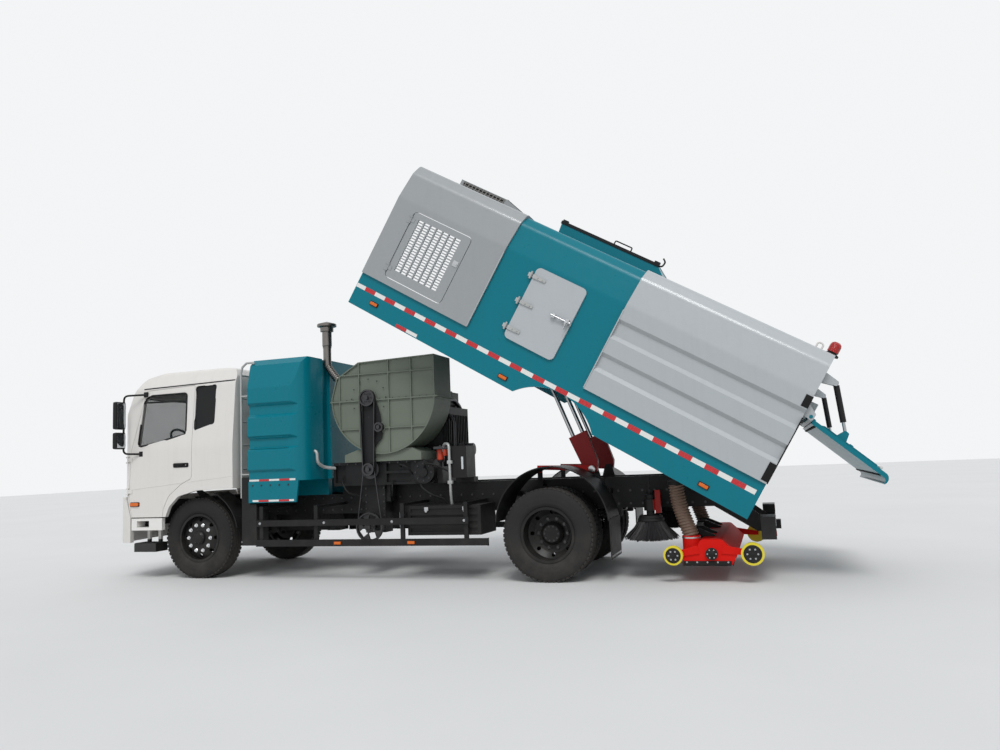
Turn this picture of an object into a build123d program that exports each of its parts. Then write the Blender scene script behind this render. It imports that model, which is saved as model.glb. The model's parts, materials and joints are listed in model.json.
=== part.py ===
from build123d import *
import os
from math import asin, cos, hypot, radians, sin

# Frame: +X rearward, +Y to the vehicle's right, +Z up, ground at Z = 0.
# Places along the vehicle are stations, counted rearward from the front axle.
FRONT_AXLE_X = -3410.0
WHEELBASE = 4700.0
SEAT_GAP = 0.3
RUNNING_FIT = 0.05
MOVING_GAP = 8.0

# Wheels
TYRE_RADIUS = 515.0
TYRE_WIDTH = 265.0
RIM_RADIUS = 292.0
RIM_WALL = 14.0
FLANGE_HEIGHT = 15.0
BEAD_INSET = 30.0
FRONT_WHEEL_Y = 967.0
REAR_OUTER_Y = 1047.0
REAR_INNER_Y = 737.0
HUB_BORE_RADIUS = 45.0
KINGPIN_Y = 790.0
KINGPIN_RADIUS = 24.0
HAND_HOLES = 8
FRONT_DISC_Y = FRONT_WHEEL_Y + 96
REAR_DISC_Y = REAR_INNER_Y + 150

# Chassis
RAIL_OUTER_Y = 430.0
RAIL_WIDTH = 75.0
RAIL_WALL = 9.0
RAIL_TOP_Z = 1000.0
RAIL_HEIGHT = 250.0
RAIL_FRONT = -1060.0
STEP_PANEL_REAR = -492.0
BUMPER_FRONT = -1350.0
BUMPER_TOP_Z = 1068.0
BUMPER_WALL = 62.0
LAMP_Y = (700.0, 1060.0)
LAMP_Z = (760.0, 920.0)
RAIL_REAR = WHEELBASE + 1860.0
RUNNER_HEIGHT = 110.0
RUNNER_FRONT = 1750.0
RUNNER_TOP_Z = RAIL_TOP_Z + RUNNER_HEIGHT
LEAF_THICK = 14.0
LEAF_SHARES = (1.0, 0.82, 0.6, 0.4)
GUARD_Y = (1150.0, 1180.0)
MUDGUARD_CENTRE = (WHEELBASE + 50.0, 620.0)
FLAP_STATION = WHEELBASE + 698.0
LOCKER = (2980.0, WHEELBASE - 800.0)

# Cab
CAB_HALF_WIDTH = 1200.0
CAB_WALL = 55.0
CAB_FLOOR_Z = 1198.0
CAB_FLOOR_THICK = 60.0
CAB_FRONT = -1285.0
CAB_REAR = 612.0
CAB_ROOF_Z = 2714.0
CAB_SKIRT_Z = 800.0
CAB_HINGE = (-1205.0, 1110.0)
CAB_HINGE_PIN = 12.0
CAB_EAR_Y = 312.0
CAB_REST = 480.0
DOOR_GAP = 5.0
DOOR_SKIN = 20.0
REBATE_GAP = 14.0
HINGE_RADIUS = 9.0
HINGE_PIN = 5.0
DOOR_HINGE = (-1045.0, 1203.0)
DOOR_HINGE_HEIGHTS = (1140.0, 1560.0)
GLASS_THICK = 6.0
GLASS_INSET = 12.0

# Water tank
TANK_FRONT = 840.0
TANK_REAR = 1640.0
TANK_TOP_Z = 2765.0
TANK_SKIRT_Z = 950.0
STACK_STATION = 1665.0
STACK_Y = -620.0
STACK_NOTCH = 75.0
LADDER_Y = (-1120.0, -800.0)
INTAKE_STATION = 727.0
INTAKE_Y = -690.0
INTAKE_BOX_TOP = 1270.0

# Fan set behind the tank
FAN_CENTRE = (2520.0, 2215.0)
FAN_RADIUS = 720.0
FAN_REAR = FAN_CENTRE[0] + FAN_RADIUS
FAN_FACE_Y = -745.0
FAN_BACK_Y = -240.0
FAN_BASE_Z = 1405.0
FAN_TOP_Z = 2700.0
FAN_COVER = 30.0
RIB_PROUD = 22.0
RIB_HALF = 7.0
MACHINE_FACE_Y = -690.0
CASING_FACE_Y = -640.0
BEARER_HALF = 360.0
# Belt drive pulleys: station, height, radius, half width
PULLEYS = ((2335, 2205, 105, 28), (2490, 1830, 60, 28), (2335, 1310, 78, 28), (2330, 600, 180, 22))
BELT_Y = FAN_FACE_Y - 60
PULLEY_SEATS = (FAN_FACE_Y - RIB_PROUD, FAN_FACE_Y - RIB_PROUD, MACHINE_FACE_Y, CASING_FACE_Y)

# Hopper, described as it lies lowered, then raised about its pivot
HOPPER_FRONT = 1725.0
HOPPER_REAR = WHEELBASE + 2270.0
HOPPER_BOTTOM_Z = 935.0
HOPPER_BAND_Z = 1340.0
HOPPER_RIDGE_Z = 2360.0
HOPPER_ROOF_Z = 2795.0
HOPPER_HALF_WIDTH = 1220.0
HOPPER_CLEAR = HOPPER_HALF_WIDTH + 80.0
PANEL_PROUD = 25.0
PANEL_WALL = 30.0
HOOD_REAR = 3283.0
MIDDLE_REAR = 4842.0
FLOOR_Z = 1480.0
FLOOR_WALL = 30.0
STEP_Z = 1640.0
STEP_REAR = 3720.0
PIVOT = (WHEELBASE + 1700.0, 1065.0)
PIVOT_RADIUS = 28.0
REST_TILT = 31.0
HOIST_BASE = (WHEELBASE + 410.0, 1215.0)
HOIST_EYE = (WHEELBASE - 480.0, 1300.0)
HOIST_Y = 500.0
TAILGATE_HINGE = (HOPPER_REAR + 70.0, 2150.0)
TAILGATE_LENGTH = 880.0
TAILGATE_WALL = 46.0
TAILGATE_OPEN = 79.0
TAILGATE_LUG = (TAILGATE_HINGE[0] + 75.0, 1790.0)
TAILGATE_CYLINDER_TOP = (TAILGATE_HINGE[0] + 60.0, 2570.0)
TAILGATE_CYLINDER_Y = HOPPER_HALF_WIDTH - 210.0
TAILGATE_PIN = 18.0
LUG_GAP = 34.0
EYE_PIN = 14.0
LUG_THICK = 12.0
CYLINDER_REACH = 400.0
HOIST_EAR_GAP = 46.0
HOIST_SLEEVE = 440.0
HOIST_ROD_RADIUS = 24.0
HOIST_PIN = 24.0
HOIST_ROD_OFFSET = 62.0
HOIST_ROD_TAIL = 395.0
# Openings in the sides: front, rear, low, high
LOUVRE = (2020.0, 2850.0, 1430.0, 2280.0)
HATCH = (3735.0, 4385.0, 1440.0, 2320.0)
LOUVRE_COLUMNS = 7
LOUVRE_ROWS = 10
LEAF_HINGE_OUT = 6.0

# Sweeping gear
BRUSH = (WHEELBASE + 1090.0, 770.0, 690.0)
BRUSH_RADIUS = 320.0
BRUSH_SHAFT = 20.0
BRUSH_BOTTOM_Z = 396.0
NOZZLE_FRONT = WHEELBASE + 1440.0
NOZZLE_REAR = WHEELBASE + 2000.0
NOZZLE_HALF_WIDTH = 1055.0
NOZZLE_PLATE = 12.0
TOW_EYE_RADIUS = 18.0
NOZZLE_STUB_Z = 475.0
HOSE_Y = 880.0
HOSE_RADIUS = 88.0
HOSE_TOP_Z = 1050.0
HOSE_TOP_STATION = WHEELBASE + 1400.0
HOSE_FOOT_STATION = WHEELBASE + 1525.0
CASTER_Y = 1120.0
# Casters of the nozzle: station, wheel radius
CASTERS = ((WHEELBASE + 1350.0, 100.0), (WHEELBASE + 2150.0, 115.0))
CASTER_LIFT = 190.0
GUIDE_REACH = 210.0
ARM_INNER_Y = 100.0
ARM_HALF_THICK = 14.0
ARM_Z = (770.0, 850.0)


def at(station):
    return FRONT_AXLE_X + station


def box(stations, ys, zs):
    (x0, x1), (y0, y1), (z0, z1) = stations, ys, zs
    size = Box(x1 - x0, abs(y1 - y0), z1 - z0)
    return Pos(at((x0 + x1) / 2), (y0 + y1) / 2, (z0 + z1) / 2) * size


def rounded(points, radii=0):
    """Closed outline with its corners rounded, one radius for all or one for each."""
    sketch = Polygon(*points, align=None)
    sizes = radii if isinstance(radii, (list, tuple)) else [radii] * len(points)
    for (a, b), radius in zip(points, sizes):
        if radius > 0:
            corner = min(sketch.vertices(), key=lambda v: hypot(v.X - a, v.Y - b))
            sketch = fillet(corner, radius)
    return sketch


def side_plate(sketch, y0, y1):
    """A side outline (station, height) given a thickness across the vehicle."""
    low, high = min(y0, y1), max(y0, y1)
    plane = Plane(origin=(at(0), low, 0), x_dir=(1, 0, 0), z_dir=(0, -1, 0))
    return extrude(plane * sketch, amount=high - low, dir=(0, 1, 0))


def front_plate(sketch, x0, x1):
    """A front outline (across, height) given a length along the vehicle."""
    plane = Plane(origin=(at(x0), 0, 0), x_dir=(0, 1, 0), z_dir=(1, 0, 0))
    return extrude(plane * sketch, amount=x1 - x0, dir=(1, 0, 0))


def top_plate(sketch, z0, z1):
    """A plan outline (station, across) given a height."""
    plane = Plane(origin=(at(0), 0, z0), x_dir=(1, 0, 0), z_dir=(0, 0, 1))
    return extrude(plane * sketch, amount=z1 - z0, dir=(0, 0, 1))


def rod(start, end, radius):
    """Round bar between two points given as (station, across, height)."""
    p = Vector(at(start[0]), start[1], start[2])
    q = Vector(at(end[0]), end[1], end[2])
    plane = Plane(origin=p, z_dir=q - p)
    return extrude(plane * Circle(radius), amount=(q - p).length)


def cross_bar(station, z, radius, y0, y1):
    return rod((station, min(y0, y1), z), (station, max(y0, y1), z), radius)


def turned(outline, station, z, side=-1):
    """Revolve an outline of (radius, across) about a crosswise axle line."""
    plane = Plane(origin=(at(station), 0, z), x_dir=(1, 0, 0), z_dir=(0, 0, 1))
    face = plane * Polygon(*[(r, side * y) for r, y in outline], align=None)
    axis = Axis((at(station), 0, z), (0, 1, 0))
    return revolve(face, axis, 360)


def post(station, y, z0, z1, radius):
    return Pos(at(station), y, (z0 + z1) / 2) * Cylinder(radius, z1 - z0)


def spun(outline, station, y):
    """Revolve an outline of (radius, height) about a vertical line."""
    plane = Plane(origin=(at(station), y, 0), x_dir=(1, 0, 0), z_dir=(0, -1, 0))
    axis = Axis((at(station), y, 0), (0, 0, 1))
    return revolve(plane * Polygon(*outline, align=None), axis, 360)


def arc_band(centre, outer, inner, start, end, y0, y1):
    """A strip bent along an arc seen from the side, between two angles in degrees."""
    cx, cz = centre
    middle = (start + end) / 2

    def point(radius, angle):
        return (cx + radius * cos(radians(angle)), cz + radius * sin(radians(angle)))

    edges = [
        ThreePointArc(point(outer, start), point(outer, middle), point(outer, end)),
        Line(point(outer, end), point(inner, end)),
        ThreePointArc(point(inner, end), point(inner, middle), point(inner, start)),
        Line(point(inner, start), point(outer, start)),
    ]
    return side_plate(make_face(edges), y0, y1)


def raised(shape):
    axis = Axis((at(PIVOT[0]), 0, PIVOT[1]), (0, 1, 0))
    if isinstance(shape, list):
        return [item.rotate(axis, REST_TILT) for item in shape]
    return shape.rotate(axis, REST_TILT)


def rotate_about(point, centre, angle):
    """Turn a (station, height) about a crosswise line, nose up for a positive angle."""
    dx, dz = point[0] - centre[0], point[1] - centre[1]
    c, s = cos(radians(angle)), sin(radians(angle))
    return (centre[0] + dx * c + dz * s, centre[1] - dx * s + dz * c)


def raised_point(point):
    """Where a lowered (station, height) goes when the hopper is raised."""
    return rotate_about(point, PIVOT, REST_TILT)


# Wheels and axles

def make_tyre(station, y_middle, side):
    """One tyre about its axle line, with crown, shoulders and bulged walls."""
    half = TYRE_WIDTH / 2
    bead = RIM_RADIUS
    # columns: radius, across from the tyre's middle plane
    half_outline = [
        (bead, half - BEAD_INSET), (bead + 19, half - BEAD_INSET), (bead + 75, half),
        (TYRE_RADIUS - 42, half - 6), (TYRE_RADIUS - 10, half - 26), (TYRE_RADIUS, half - 54),
    ]
    outline = half_outline + [(r, -a) for r, a in reversed(half_outline)]
    return turned([(r, y_middle + a) for r, a in outline], station, TYRE_RADIUS, side)


def rim_barrel(y_middle):
    """Outline of a rim's barrel, its flanges seated on the tyre's beads."""
    seat = TYRE_WIDTH / 2 - BEAD_INSET + SEAT_GAP
    r = RIM_RADIUS - SEAT_GAP
    # columns: radius, across
    top, out = r + FLANGE_HEIGHT, seat + 8
    half_outline = [(r, seat), (top, seat), (top, out), (r - RIM_WALL, out)]
    other = [(radius, -a) for radius, a in half_outline]
    return [(radius, y_middle + a) for radius, a in half_outline + other[::-1]]


def hand_holes(disc, station, y0, y1, side, pitch_radius, hole_radius, count):
    for index in range(count):
        angle = 2 * 180.0 * index / count
        x = station + pitch_radius * cos(radians(angle))
        z = TYRE_RADIUS + pitch_radius * sin(radians(angle))
        disc -= cross_bar(x, z, hole_radius, side * y0, side * y1)
    return disc


def front_rim(side):
    """Barrel, a convex disc with hand holes and the hub cap of a front wheel."""
    y = FRONT_WHEEL_Y
    barrel = turned(rim_barrel(y), 0, TYRE_RADIUS, side)
    face = FRONT_DISC_Y
    # columns: radius, across
    disc = turned([
        (HUB_BORE_RADIUS, face - 14), (HUB_BORE_RADIUS, face), (175, face), (205, face - 16),
        (RIM_RADIUS - RIM_WALL + 2, face - 52), (RIM_RADIUS - RIM_WALL + 2, face - 66),
        (200, face - 32), (172, face - 14),
    ], 0, TYRE_RADIUS, side)
    disc = hand_holes(disc, 0, face - 90, face + 10, side, 228, 26, HAND_HOLES)
    hub = turned([
        (HUB_BORE_RADIUS, y - 60), (120, y - 60), (120, face - 14), (HUB_BORE_RADIUS, face - 14),
    ], 0, TYRE_RADIUS, side)
    cap = turned([
        (0, face + 4), (0, face + 46), (62, face + 42), (82, face + 22), (84, face - 6),
        (HUB_BORE_RADIUS - 4, face - 6), (HUB_BORE_RADIUS - 4, face + 4),
    ], 0, TYRE_RADIUS, side)
    drum = turned([
        (120, y - 60), (206, y - 60), (206, y + 40), (190, y + 40), (190, y - 46), (120, y - 46),
    ], 0, TYRE_RADIUS, side)
    return barrel + disc + hub + cap + drum


def rear_rims(side):
    """Two barrels on one deeply dished pair of discs with the axle's end cap."""
    shape = None
    for y in (REAR_OUTER_Y, REAR_INNER_Y):
        barrel = turned(rim_barrel(y), WHEELBASE, TYRE_RADIUS, side)
        shape = barrel if shape is None else shape + barrel
    face = REAR_DISC_Y
    # The outer disc stands inward of its tyre, so the rim reads as a deep dish.
    disc = turned([
        (100, face - 12), (100, face + 12), (175, face + 12), (215, face + 26),
        (RIM_RADIUS - RIM_WALL + 2, face + 74), (RIM_RADIUS - RIM_WALL + 2, face + 60),
        (215, face + 12), (186, face - 2), (215, face - 26), (RIM_RADIUS - RIM_WALL + 2, face - 60),
        (RIM_RADIUS - RIM_WALL + 2, face - 74), (215, face - 40), (175, face - 12),
    ], WHEELBASE, TYRE_RADIUS, side)
    disc = hand_holes(disc, WHEELBASE, face - 120, face + 120, side, 238, 22, HAND_HOLES)
    hub = turned([
        (HUB_BORE_RADIUS, REAR_INNER_Y - 80), (130, REAR_INNER_Y - 80), (130, face + 60),
        (96, face + 96), (0, face + 96), (0, face + 84), (HUB_BORE_RADIUS, face + 84),
    ], WHEELBASE, TYRE_RADIUS, side)
    drum = turned([
        (130, REAR_INNER_Y - 80), (210, REAR_INNER_Y - 80), (210, REAR_INNER_Y + 60),
        (194, REAR_INNER_Y + 60), (194, REAR_INNER_Y - 66), (130, REAR_INNER_Y - 66),
    ], WHEELBASE, TYRE_RADIUS, side)
    return shape + disc + hub + drum


def knuckle(side):
    """Steering knuckle: kingpin boss between the axle's eyes, spindle and brake plate."""
    boss = Pos(at(0), side * KINGPIN_Y, TYRE_RADIUS) * Cylinder(40, 150)
    plate_y = FRONT_WHEEL_Y - 60 - 22
    neck = cross_bar(0, TYRE_RADIUS, 36, side * (KINGPIN_Y + 34), side * plate_y)
    plate = cross_bar(0, TYRE_RADIUS, 196, side * plate_y, side * (plate_y + 12))
    spindle = cross_bar(0, TYRE_RADIUS, HUB_BORE_RADIUS - RUNNING_FIT,
                        side * plate_y, side * (FRONT_DISC_Y - 10))
    arm = box((60, 210), (side * (KINGPIN_Y - 20), side * (KINGPIN_Y + 4)), (488, 520))
    arm += box((20, 70), (side * (KINGPIN_Y - 20), side * (KINGPIN_Y + 20)), (488, 520))
    bore = Pos(at(0), side * KINGPIN_Y, TYRE_RADIUS) * Cylinder(KINGPIN_RADIUS + RUNNING_FIT, 400)
    return boss + neck + plate + spindle + arm - bore


def front_axle():
    """Forged beam with its dropped middle, eyes, kingpins and springs."""
    z = TYRE_RADIUS
    # columns: across, height
    beam = front_plate(Polygon(
        (-640, z + 20), (-640, z - 40), (-500, z - 110), (500, z - 110), (640, z - 40),
        (640, z + 20), (480, z - 40), (-480, z - 40), align=None), -42, 42)
    shapes = beam
    for side in (-1, 1):
        yoke = box((-28, 28), (side * 620, side * (KINGPIN_Y - 56)), (z - 60, z + 30))
        shapes += yoke
        for low, high in ((z - 122, z - 78), (z + 78, z + 122)):
            eye = Pos(at(0), side * KINGPIN_Y, (low + high) / 2) * Cylinder(46, high - low)
            link = box((-34, 34), (side * (KINGPIN_Y - 60), side * KINGPIN_Y), (low, high))
            shapes += eye + link
        wall = box((-24, 24), (side * (KINGPIN_Y - 70), side * (KINGPIN_Y - 50)), (z - 122, z + 122))
        shapes += wall
        shapes += Pos(at(0), side * KINGPIN_Y, z) * Cylinder(KINGPIN_RADIUS, 250)
    return [shapes] + leaf_springs(0, z - 40 + SEAT_GAP, RAIL_OUTER_Y - 38, 720)


def leaf_springs(station, seat_z, y, half_length):
    """A pair of leaf packs with their end brackets, one under each rail."""
    shapes = []
    rail_bottom = RAIL_TOP_Z - RAIL_HEIGHT
    for side in (-1, 1):
        top = seat_z + LEAF_THICK * len(LEAF_SHARES)
        pack = None
        for index, share in enumerate(LEAF_SHARES):
            length, z = half_length * share, top - index * LEAF_THICK
            ys = (side * (y - 36), side * (y + 36))
            leaf = box((station - length, station + length), ys, (z - LEAF_THICK, z))
            pack = leaf if pack is None else pack + leaf
        for end in (-1, 1):
            middle = station + end * (half_length - 30)
            ys = (side * (y - 30), side * (y + 30))
            pack += box((middle - 36, middle + 36), ys, (top, rail_bottom - SEAT_GAP))
        shapes.append(pack)
    return shapes


def rear_axle():
    """Banjo casing with its tubes ending in the hubs, and the springs over it."""
    z = TYRE_RADIUS
    casing = Pos(at(WHEELBASE), 0, z) * Sphere(205)
    casing += cross_bar(WHEELBASE, z, 75, -(REAR_INNER_Y - 92), REAR_INNER_Y - 92)
    stub = REAR_DISC_Y + 76
    casing += cross_bar(WHEELBASE, z, HUB_BORE_RADIUS - RUNNING_FIT, -stub, stub)
    casing += rod((WHEELBASE - 330, 0, z + 40), (WHEELBASE - 150, 0, z + 10), 55)
    for side in (-1, 1):
        ys = (side * (RAIL_OUTER_Y - 76), side * RAIL_OUTER_Y)
        casing += box((WHEELBASE - 60, WHEELBASE + 60), ys, (z - 20, z + 100 - SEAT_GAP))
    return [casing] + leaf_springs(WHEELBASE, z + 100, RAIL_OUTER_Y - 38, 700)


# Chassis

def frame_rails():
    """Ladder frame: two channel rails and the tubes and channels across them."""
    low = RAIL_TOP_Z - RAIL_HEIGHT
    shape = None
    for side in (-1, 1):
        outer, inner = side * RAIL_OUTER_Y, side * (RAIL_OUTER_Y - RAIL_WIDTH)
        rail = box((RAIL_FRONT, RAIL_REAR), (outer, inner), (low, RAIL_TOP_Z))
        hollow_y = (side * (RAIL_OUTER_Y - RAIL_WALL), side * (RAIL_OUTER_Y - RAIL_WIDTH - 1))
        rail -= box((RAIL_FRONT - 1, RAIL_REAR + 1), hollow_y, (low + RAIL_WALL, RAIL_TOP_Z - RAIL_WALL))
        shape = rail if shape is None else shape + rail
    web = RAIL_OUTER_Y - RAIL_WALL
    for station in (-1000, 900, 2300, WHEELBASE - 800, WHEELBASE + 600, RAIL_REAR - 60):
        shape += box((station - 40, station + 40), (-web, web), (low + 60, low + 180))
    for side in (-1, 1):
        shape += hinge_tower(side)
        rest_y = (side * (RAIL_OUTER_Y - RAIL_WIDTH), side * RAIL_OUTER_Y)
        rest_z = (RAIL_TOP_Z - 1, CAB_FLOOR_Z - CAB_FLOOR_THICK - SEAT_GAP)
        shape += box((CAB_REST - 35, CAB_REST + 35), rest_y, rest_z)
        slot_y = (side * (RAIL_OUTER_Y - RAIL_WALL - 1), side * (RAIL_OUTER_Y + 1))
        shape -= box((BRUSH[0] - ARM_HALF_THICK - 6, BRUSH[0] + ARM_HALF_THICK + 6), slot_y,
                     (ARM_Z[0] - 6, ARM_Z[1] + 6))
    return shape


def hinge_tower(side):
    """Plate that rises from the frame's front to the pin on which the cab tilts."""
    x, z = CAB_HINGE
    inner = RAIL_OUTER_Y - RAIL_WIDTH
    outline = rounded([
        (RAIL_FRONT + 130, RAIL_TOP_Z - 10), (x + 24, z + 22), (x - 20, z + 22), (x - 22, z - 10),
        (x + 6, z - 34), (RAIL_FRONT + 40, RAIL_TOP_Z - RAIL_HEIGHT + 60),
        (RAIL_FRONT + 130, RAIL_TOP_Z - RAIL_HEIGHT + 60)], [0, 20, 18, 0, 0, 0, 0])
    plate = side_plate(outline, side * (inner - 22), side * (inner + 1))
    return plate + cross_bar(x, z, CAB_HINGE_PIN, side * (CAB_EAR_Y - 18), side * (inner - 1))


def subframe():
    """Runners on the rails with the hoist's ears and the hopper's pivot ears."""
    shape = cross_bar(PIVOT[0], PIVOT[1], PIVOT_RADIUS, -560, 560)
    for side in (-1, 1):
        inner, outer = side * (RAIL_OUTER_Y - 70), side * RAIL_OUTER_Y
        runner = box((RUNNER_FRONT, RAIL_REAR - 120), (inner, outer), (RAIL_TOP_Z + SEAT_GAP, RUNNER_TOP_Z))
        runner += side_plate(rounded([
            (PIVOT[0] - 130, RAIL_TOP_Z + 1), (PIVOT[0] + 75, RAIL_TOP_Z + 1),
            (PIVOT[0] + 50, PIVOT[1] + 50), (PIVOT[0] - 50, PIVOT[1] + 50)]), inner, outer)
        x, z = HOIST_BASE
        ear_y = (side * (RAIL_OUTER_Y + 6), side * (RAIL_OUTER_Y + 24))
        hoist = side_plate(rounded([
            (x - 110, RAIL_TOP_Z + SEAT_GAP), (x + 110, RAIL_TOP_Z + SEAT_GAP), (x + 40, z + 40),
            (x - 40, z + 40)], [0, 0, 30, 30]), *ear_y)
        hoist += box((x - 110, x + 110), (outer, ear_y[1]), (RAIL_TOP_Z + SEAT_GAP, RUNNER_TOP_Z))
        hoist += cross_bar(x, z, HOIST_PIN, ear_y[0], side * (HOIST_Y + 56))
        hoist += hoist_link(side)
        shape += runner + hoist + hose_collar(side)
    return [shape] + [brush_guide(side) for side in (-1, 1)]


def hoist_link(side):
    """Bar from a hoist's base pin forward to its foot on the runner."""
    x, z = HOIST_BASE
    front = x - 660
    ys = (side * (HOIST_Y + 52), side * (HOIST_Y + 66))
    bar = side_plate(rounded([(front, z + 12), (front, z + 62), (x + 10, z + 42), (x + 10, z - 26)]), *ys)
    bar += cross_bar(x, z, 44, ys[0], side * (HOIST_Y + 68))
    bar += box((front, front + 60), ys, (RAIL_TOP_Z + 30, z + 60))
    return bar + box((front, front + 60), (side * (RAIL_OUTER_Y - 2), ys[1]), (RAIL_TOP_Z + 30, RAIL_TOP_Z + 60))


def hose_collar(side):
    """Plate on a runner that holds a suction hose's top under the hopper's port."""
    x, y = HOSE_TOP_STATION, side * HOSE_Y
    low = HOSE_TOP_Z + SEAT_GAP
    ys = (side * (RAIL_OUTER_Y - 2), side * (HOSE_Y + HOSE_RADIUS + 12))
    plate = box((x - 70, x + 100), ys, (low, low + 24))
    port = Pos(at(x + 15), y, low + 36) * Cylinder(HOSE_RADIUS + 8, 72)
    return plate + port


def engine_block():
    """Engine and gearbox as plain blocks at their real place, on mounts at the rails."""
    block = box((-700, 640), (-300, 300), (560, 1020)) + box((640, 1400), (-190, 190), (520, 800))
    web = RAIL_OUTER_Y - RAIL_WALL - SEAT_GAP
    return block + box((-120, 0), (-web, web), (800, 900))


def step_panels():
    """White panel ahead of each front wheel, with its step pocket, and the black tread under it."""
    shapes = []
    for side in (-1, 1):
        panel = box((-985, STEP_PANEL_REAR), (side * 1135, side * 1193), (630, 785))
        panel += box((-985, -645), (side * 900, side * 1193), (630, 785))
        panel -= box((-900, -700), (side * 1040, side * 1250), (668, 752))
        panel += box((-960, -640), (side * RAIL_OUTER_Y, side * 910), (760, 785))
        tread = box((-950, -600), (side * 960, side * 1180), (350, 460))
        tread += box((-880, -840), (side * 980, side * 1020), (460, 630))
        tread += box((-700, -660), (side * 980, side * 1020), (460, 630))
        shapes.append(panel + tread)
    return shapes


def front_bumper():
    """Wrap-round bumper, cut by its leaning side profile."""
    half = CAB_HALF_WIDTH - 5
    front, wall = BUMPER_FRONT, BUMPER_WALL
    # columns: station, across
    plan = [(-1004, -half), (-1200, -half), (front, -520), (front, 520), (-1200, half), (-1004, half)]
    inner_plan = [(-950, -half + wall), (-1150, -half + wall), (front + wall, -500), (front + wall, 500),
                  (-1150, half - wall), (-950, half - wall)]
    shell = top_plate(rounded(plan, [0, 190, 600, 600, 190, 0]), 470, BUMPER_TOP_Z)
    shell -= top_plate(rounded(inner_plan, [0, 150, 500, 500, 150, 0]), 460, BUMPER_TOP_Z + 10)
    # columns: station, height
    profile = rounded([
        (front - 10, 560), (front + 60, 470), (-1004, 470), (-1004, 800), (-1064, 1000),
        (-1100, BUMPER_TOP_Z), (-1260, BUMPER_TOP_Z), (front - 10, BUMPER_TOP_Z - 60)])
    shell &= side_plate(profile, -half - 5, half + 5)
    for side in (-1, 1):
        arm_y = (side * (RAIL_OUTER_Y - RAIL_WIDTH + 5), side * RAIL_OUTER_Y)
        shell += box((front + wall - 5, RAIL_FRONT - SEAT_GAP), arm_y, (780, 960))
        shell -= box((front - 50, -1150), (side * LAMP_Y[0], side * LAMP_Y[1]), LAMP_Z)
    return shell


def headlamps():
    shapes = []
    for side in (-1, 1):
        ys = (side * (LAMP_Y[0] + SEAT_GAP), side * (LAMP_Y[1] - SEAT_GAP))
        lamp = box((-1326, -1240), ys, (LAMP_Z[0] + SEAT_GAP, LAMP_Z[1] - SEAT_GAP))
        # columns: station, across
        wedge = Polygon(
            (-1335, side * 690), (-1232, side * 1080), (-1160, side * 1080), (-1160, side * 690), align=None)
        shapes.append(lamp & top_plate(wedge, 700, 1000))
    return shapes


def tank_section(inset=0):
    # columns: across, height; the right half from the bottom up
    half = [
        (1172, 1212), (1172, 1330), (1200, 1362), (1200, 1600), (1158, 1642), (1158, 1745),
        (1200, 1785), (1200, 2012), (1158, 2054), (1158, 2160), (1200, 2202), (1200, 2390),
        (1130, 2690), (1050, TANK_TOP_Z),
    ]
    left = [(-y, z) for y, z in reversed(half)]
    return Polygon(*(half + left), align=None)


def water_tank():
    tank = front_plate(tank_section(), TANK_FRONT, TANK_REAR)
    plan = rounded([(TANK_FRONT - 1, -1210), (TANK_REAR, -1201), (TANK_REAR, 1201), (TANK_FRONT - 1, 1210)],
                   [0, 220, 220, 0])
    tank &= top_plate(plan, 900, 2900)
    tank -= box((STACK_STATION - STACK_NOTCH, TANK_REAR + 5), (STACK_Y - 90, STACK_Y + 90), (1100, 2900))
    for side in (-1, 1):
        skirt = Polygon((TANK_FRONT, TANK_SKIRT_Z), (TANK_REAR - 110, TANK_SKIRT_Z), (TANK_REAR - 75, 1214),
                        (TANK_FRONT, 1214), align=None)
        tank += side_plate(skirt, side * 1160, side * 1185)
        bearer_z = (RAIL_TOP_Z + SEAT_GAP, 1214)
        tank += box((TANK_FRONT + 60, TANK_REAR - 100), (side * 340, side * RAIL_OUTER_Y), bearer_z)
    return tank


def tank_top(y):
    """Height of the tank's top or upper flank at a distance from the middle."""
    return TANK_TOP_Z - max(0.0, abs(y) - 1050.0) * (TANK_TOP_Z - 2690.0) / 80.0


def ladder():
    """Two rails behind the cab with rungs, arched over onto the tank's top."""
    station = 690.0
    shape = None
    for y in LADDER_Y:
        top = tank_top(abs(y) - 14) + SEAT_GAP
        # columns: station, height
        path = [(station, 1010), (station, top - 100), (station + 22, top - 28), (station + 85, top + 20),
                (station + 190, top + 20), (station + 190, top)]
        rail = None
        for (x0, z0), (x1, z1) in zip(path, path[1:]):
            bar = rod((x0, y, z0), (x1, y, z1), 14)
            rail = bar if rail is None else rail + bar
        for x, z in path[1:-1]:
            rail += Pos(at(x), y, z) * Sphere(14)
        for z in (1300, 2300):
            rail += box((station, TANK_FRONT - SEAT_GAP), (y - 12, y + 12), (z, z + 16))
        shape = rail if shape is None else shape + rail
    for index in range(6):
        shape += cross_bar(station, 1080 + index * 300, 12, *LADDER_Y)
    return shape


def intake_duct():
    """Upright air duct behind the cab, with its bellows, standing on its black box."""
    x, y = INTAKE_STATION, INTAKE_Y
    duct = post(x, y, INTAKE_BOX_TOP + SEAT_GAP, 2240, 74)
    duct += post(x, y, INTAKE_BOX_TOP + SEAT_GAP, INTAKE_BOX_TOP + 40, 84)
    for low in (1590, 2020):
        for index in range(4):
            z = low + index * 30
            duct += post(x, y, z, z + 14, 86)
    duct += Pos(at(x), y, 2240) * Sphere(74)
    return duct + box((x, TANK_FRONT - SEAT_GAP), (y - 15, y + 15), (2140, 2170))


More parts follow.
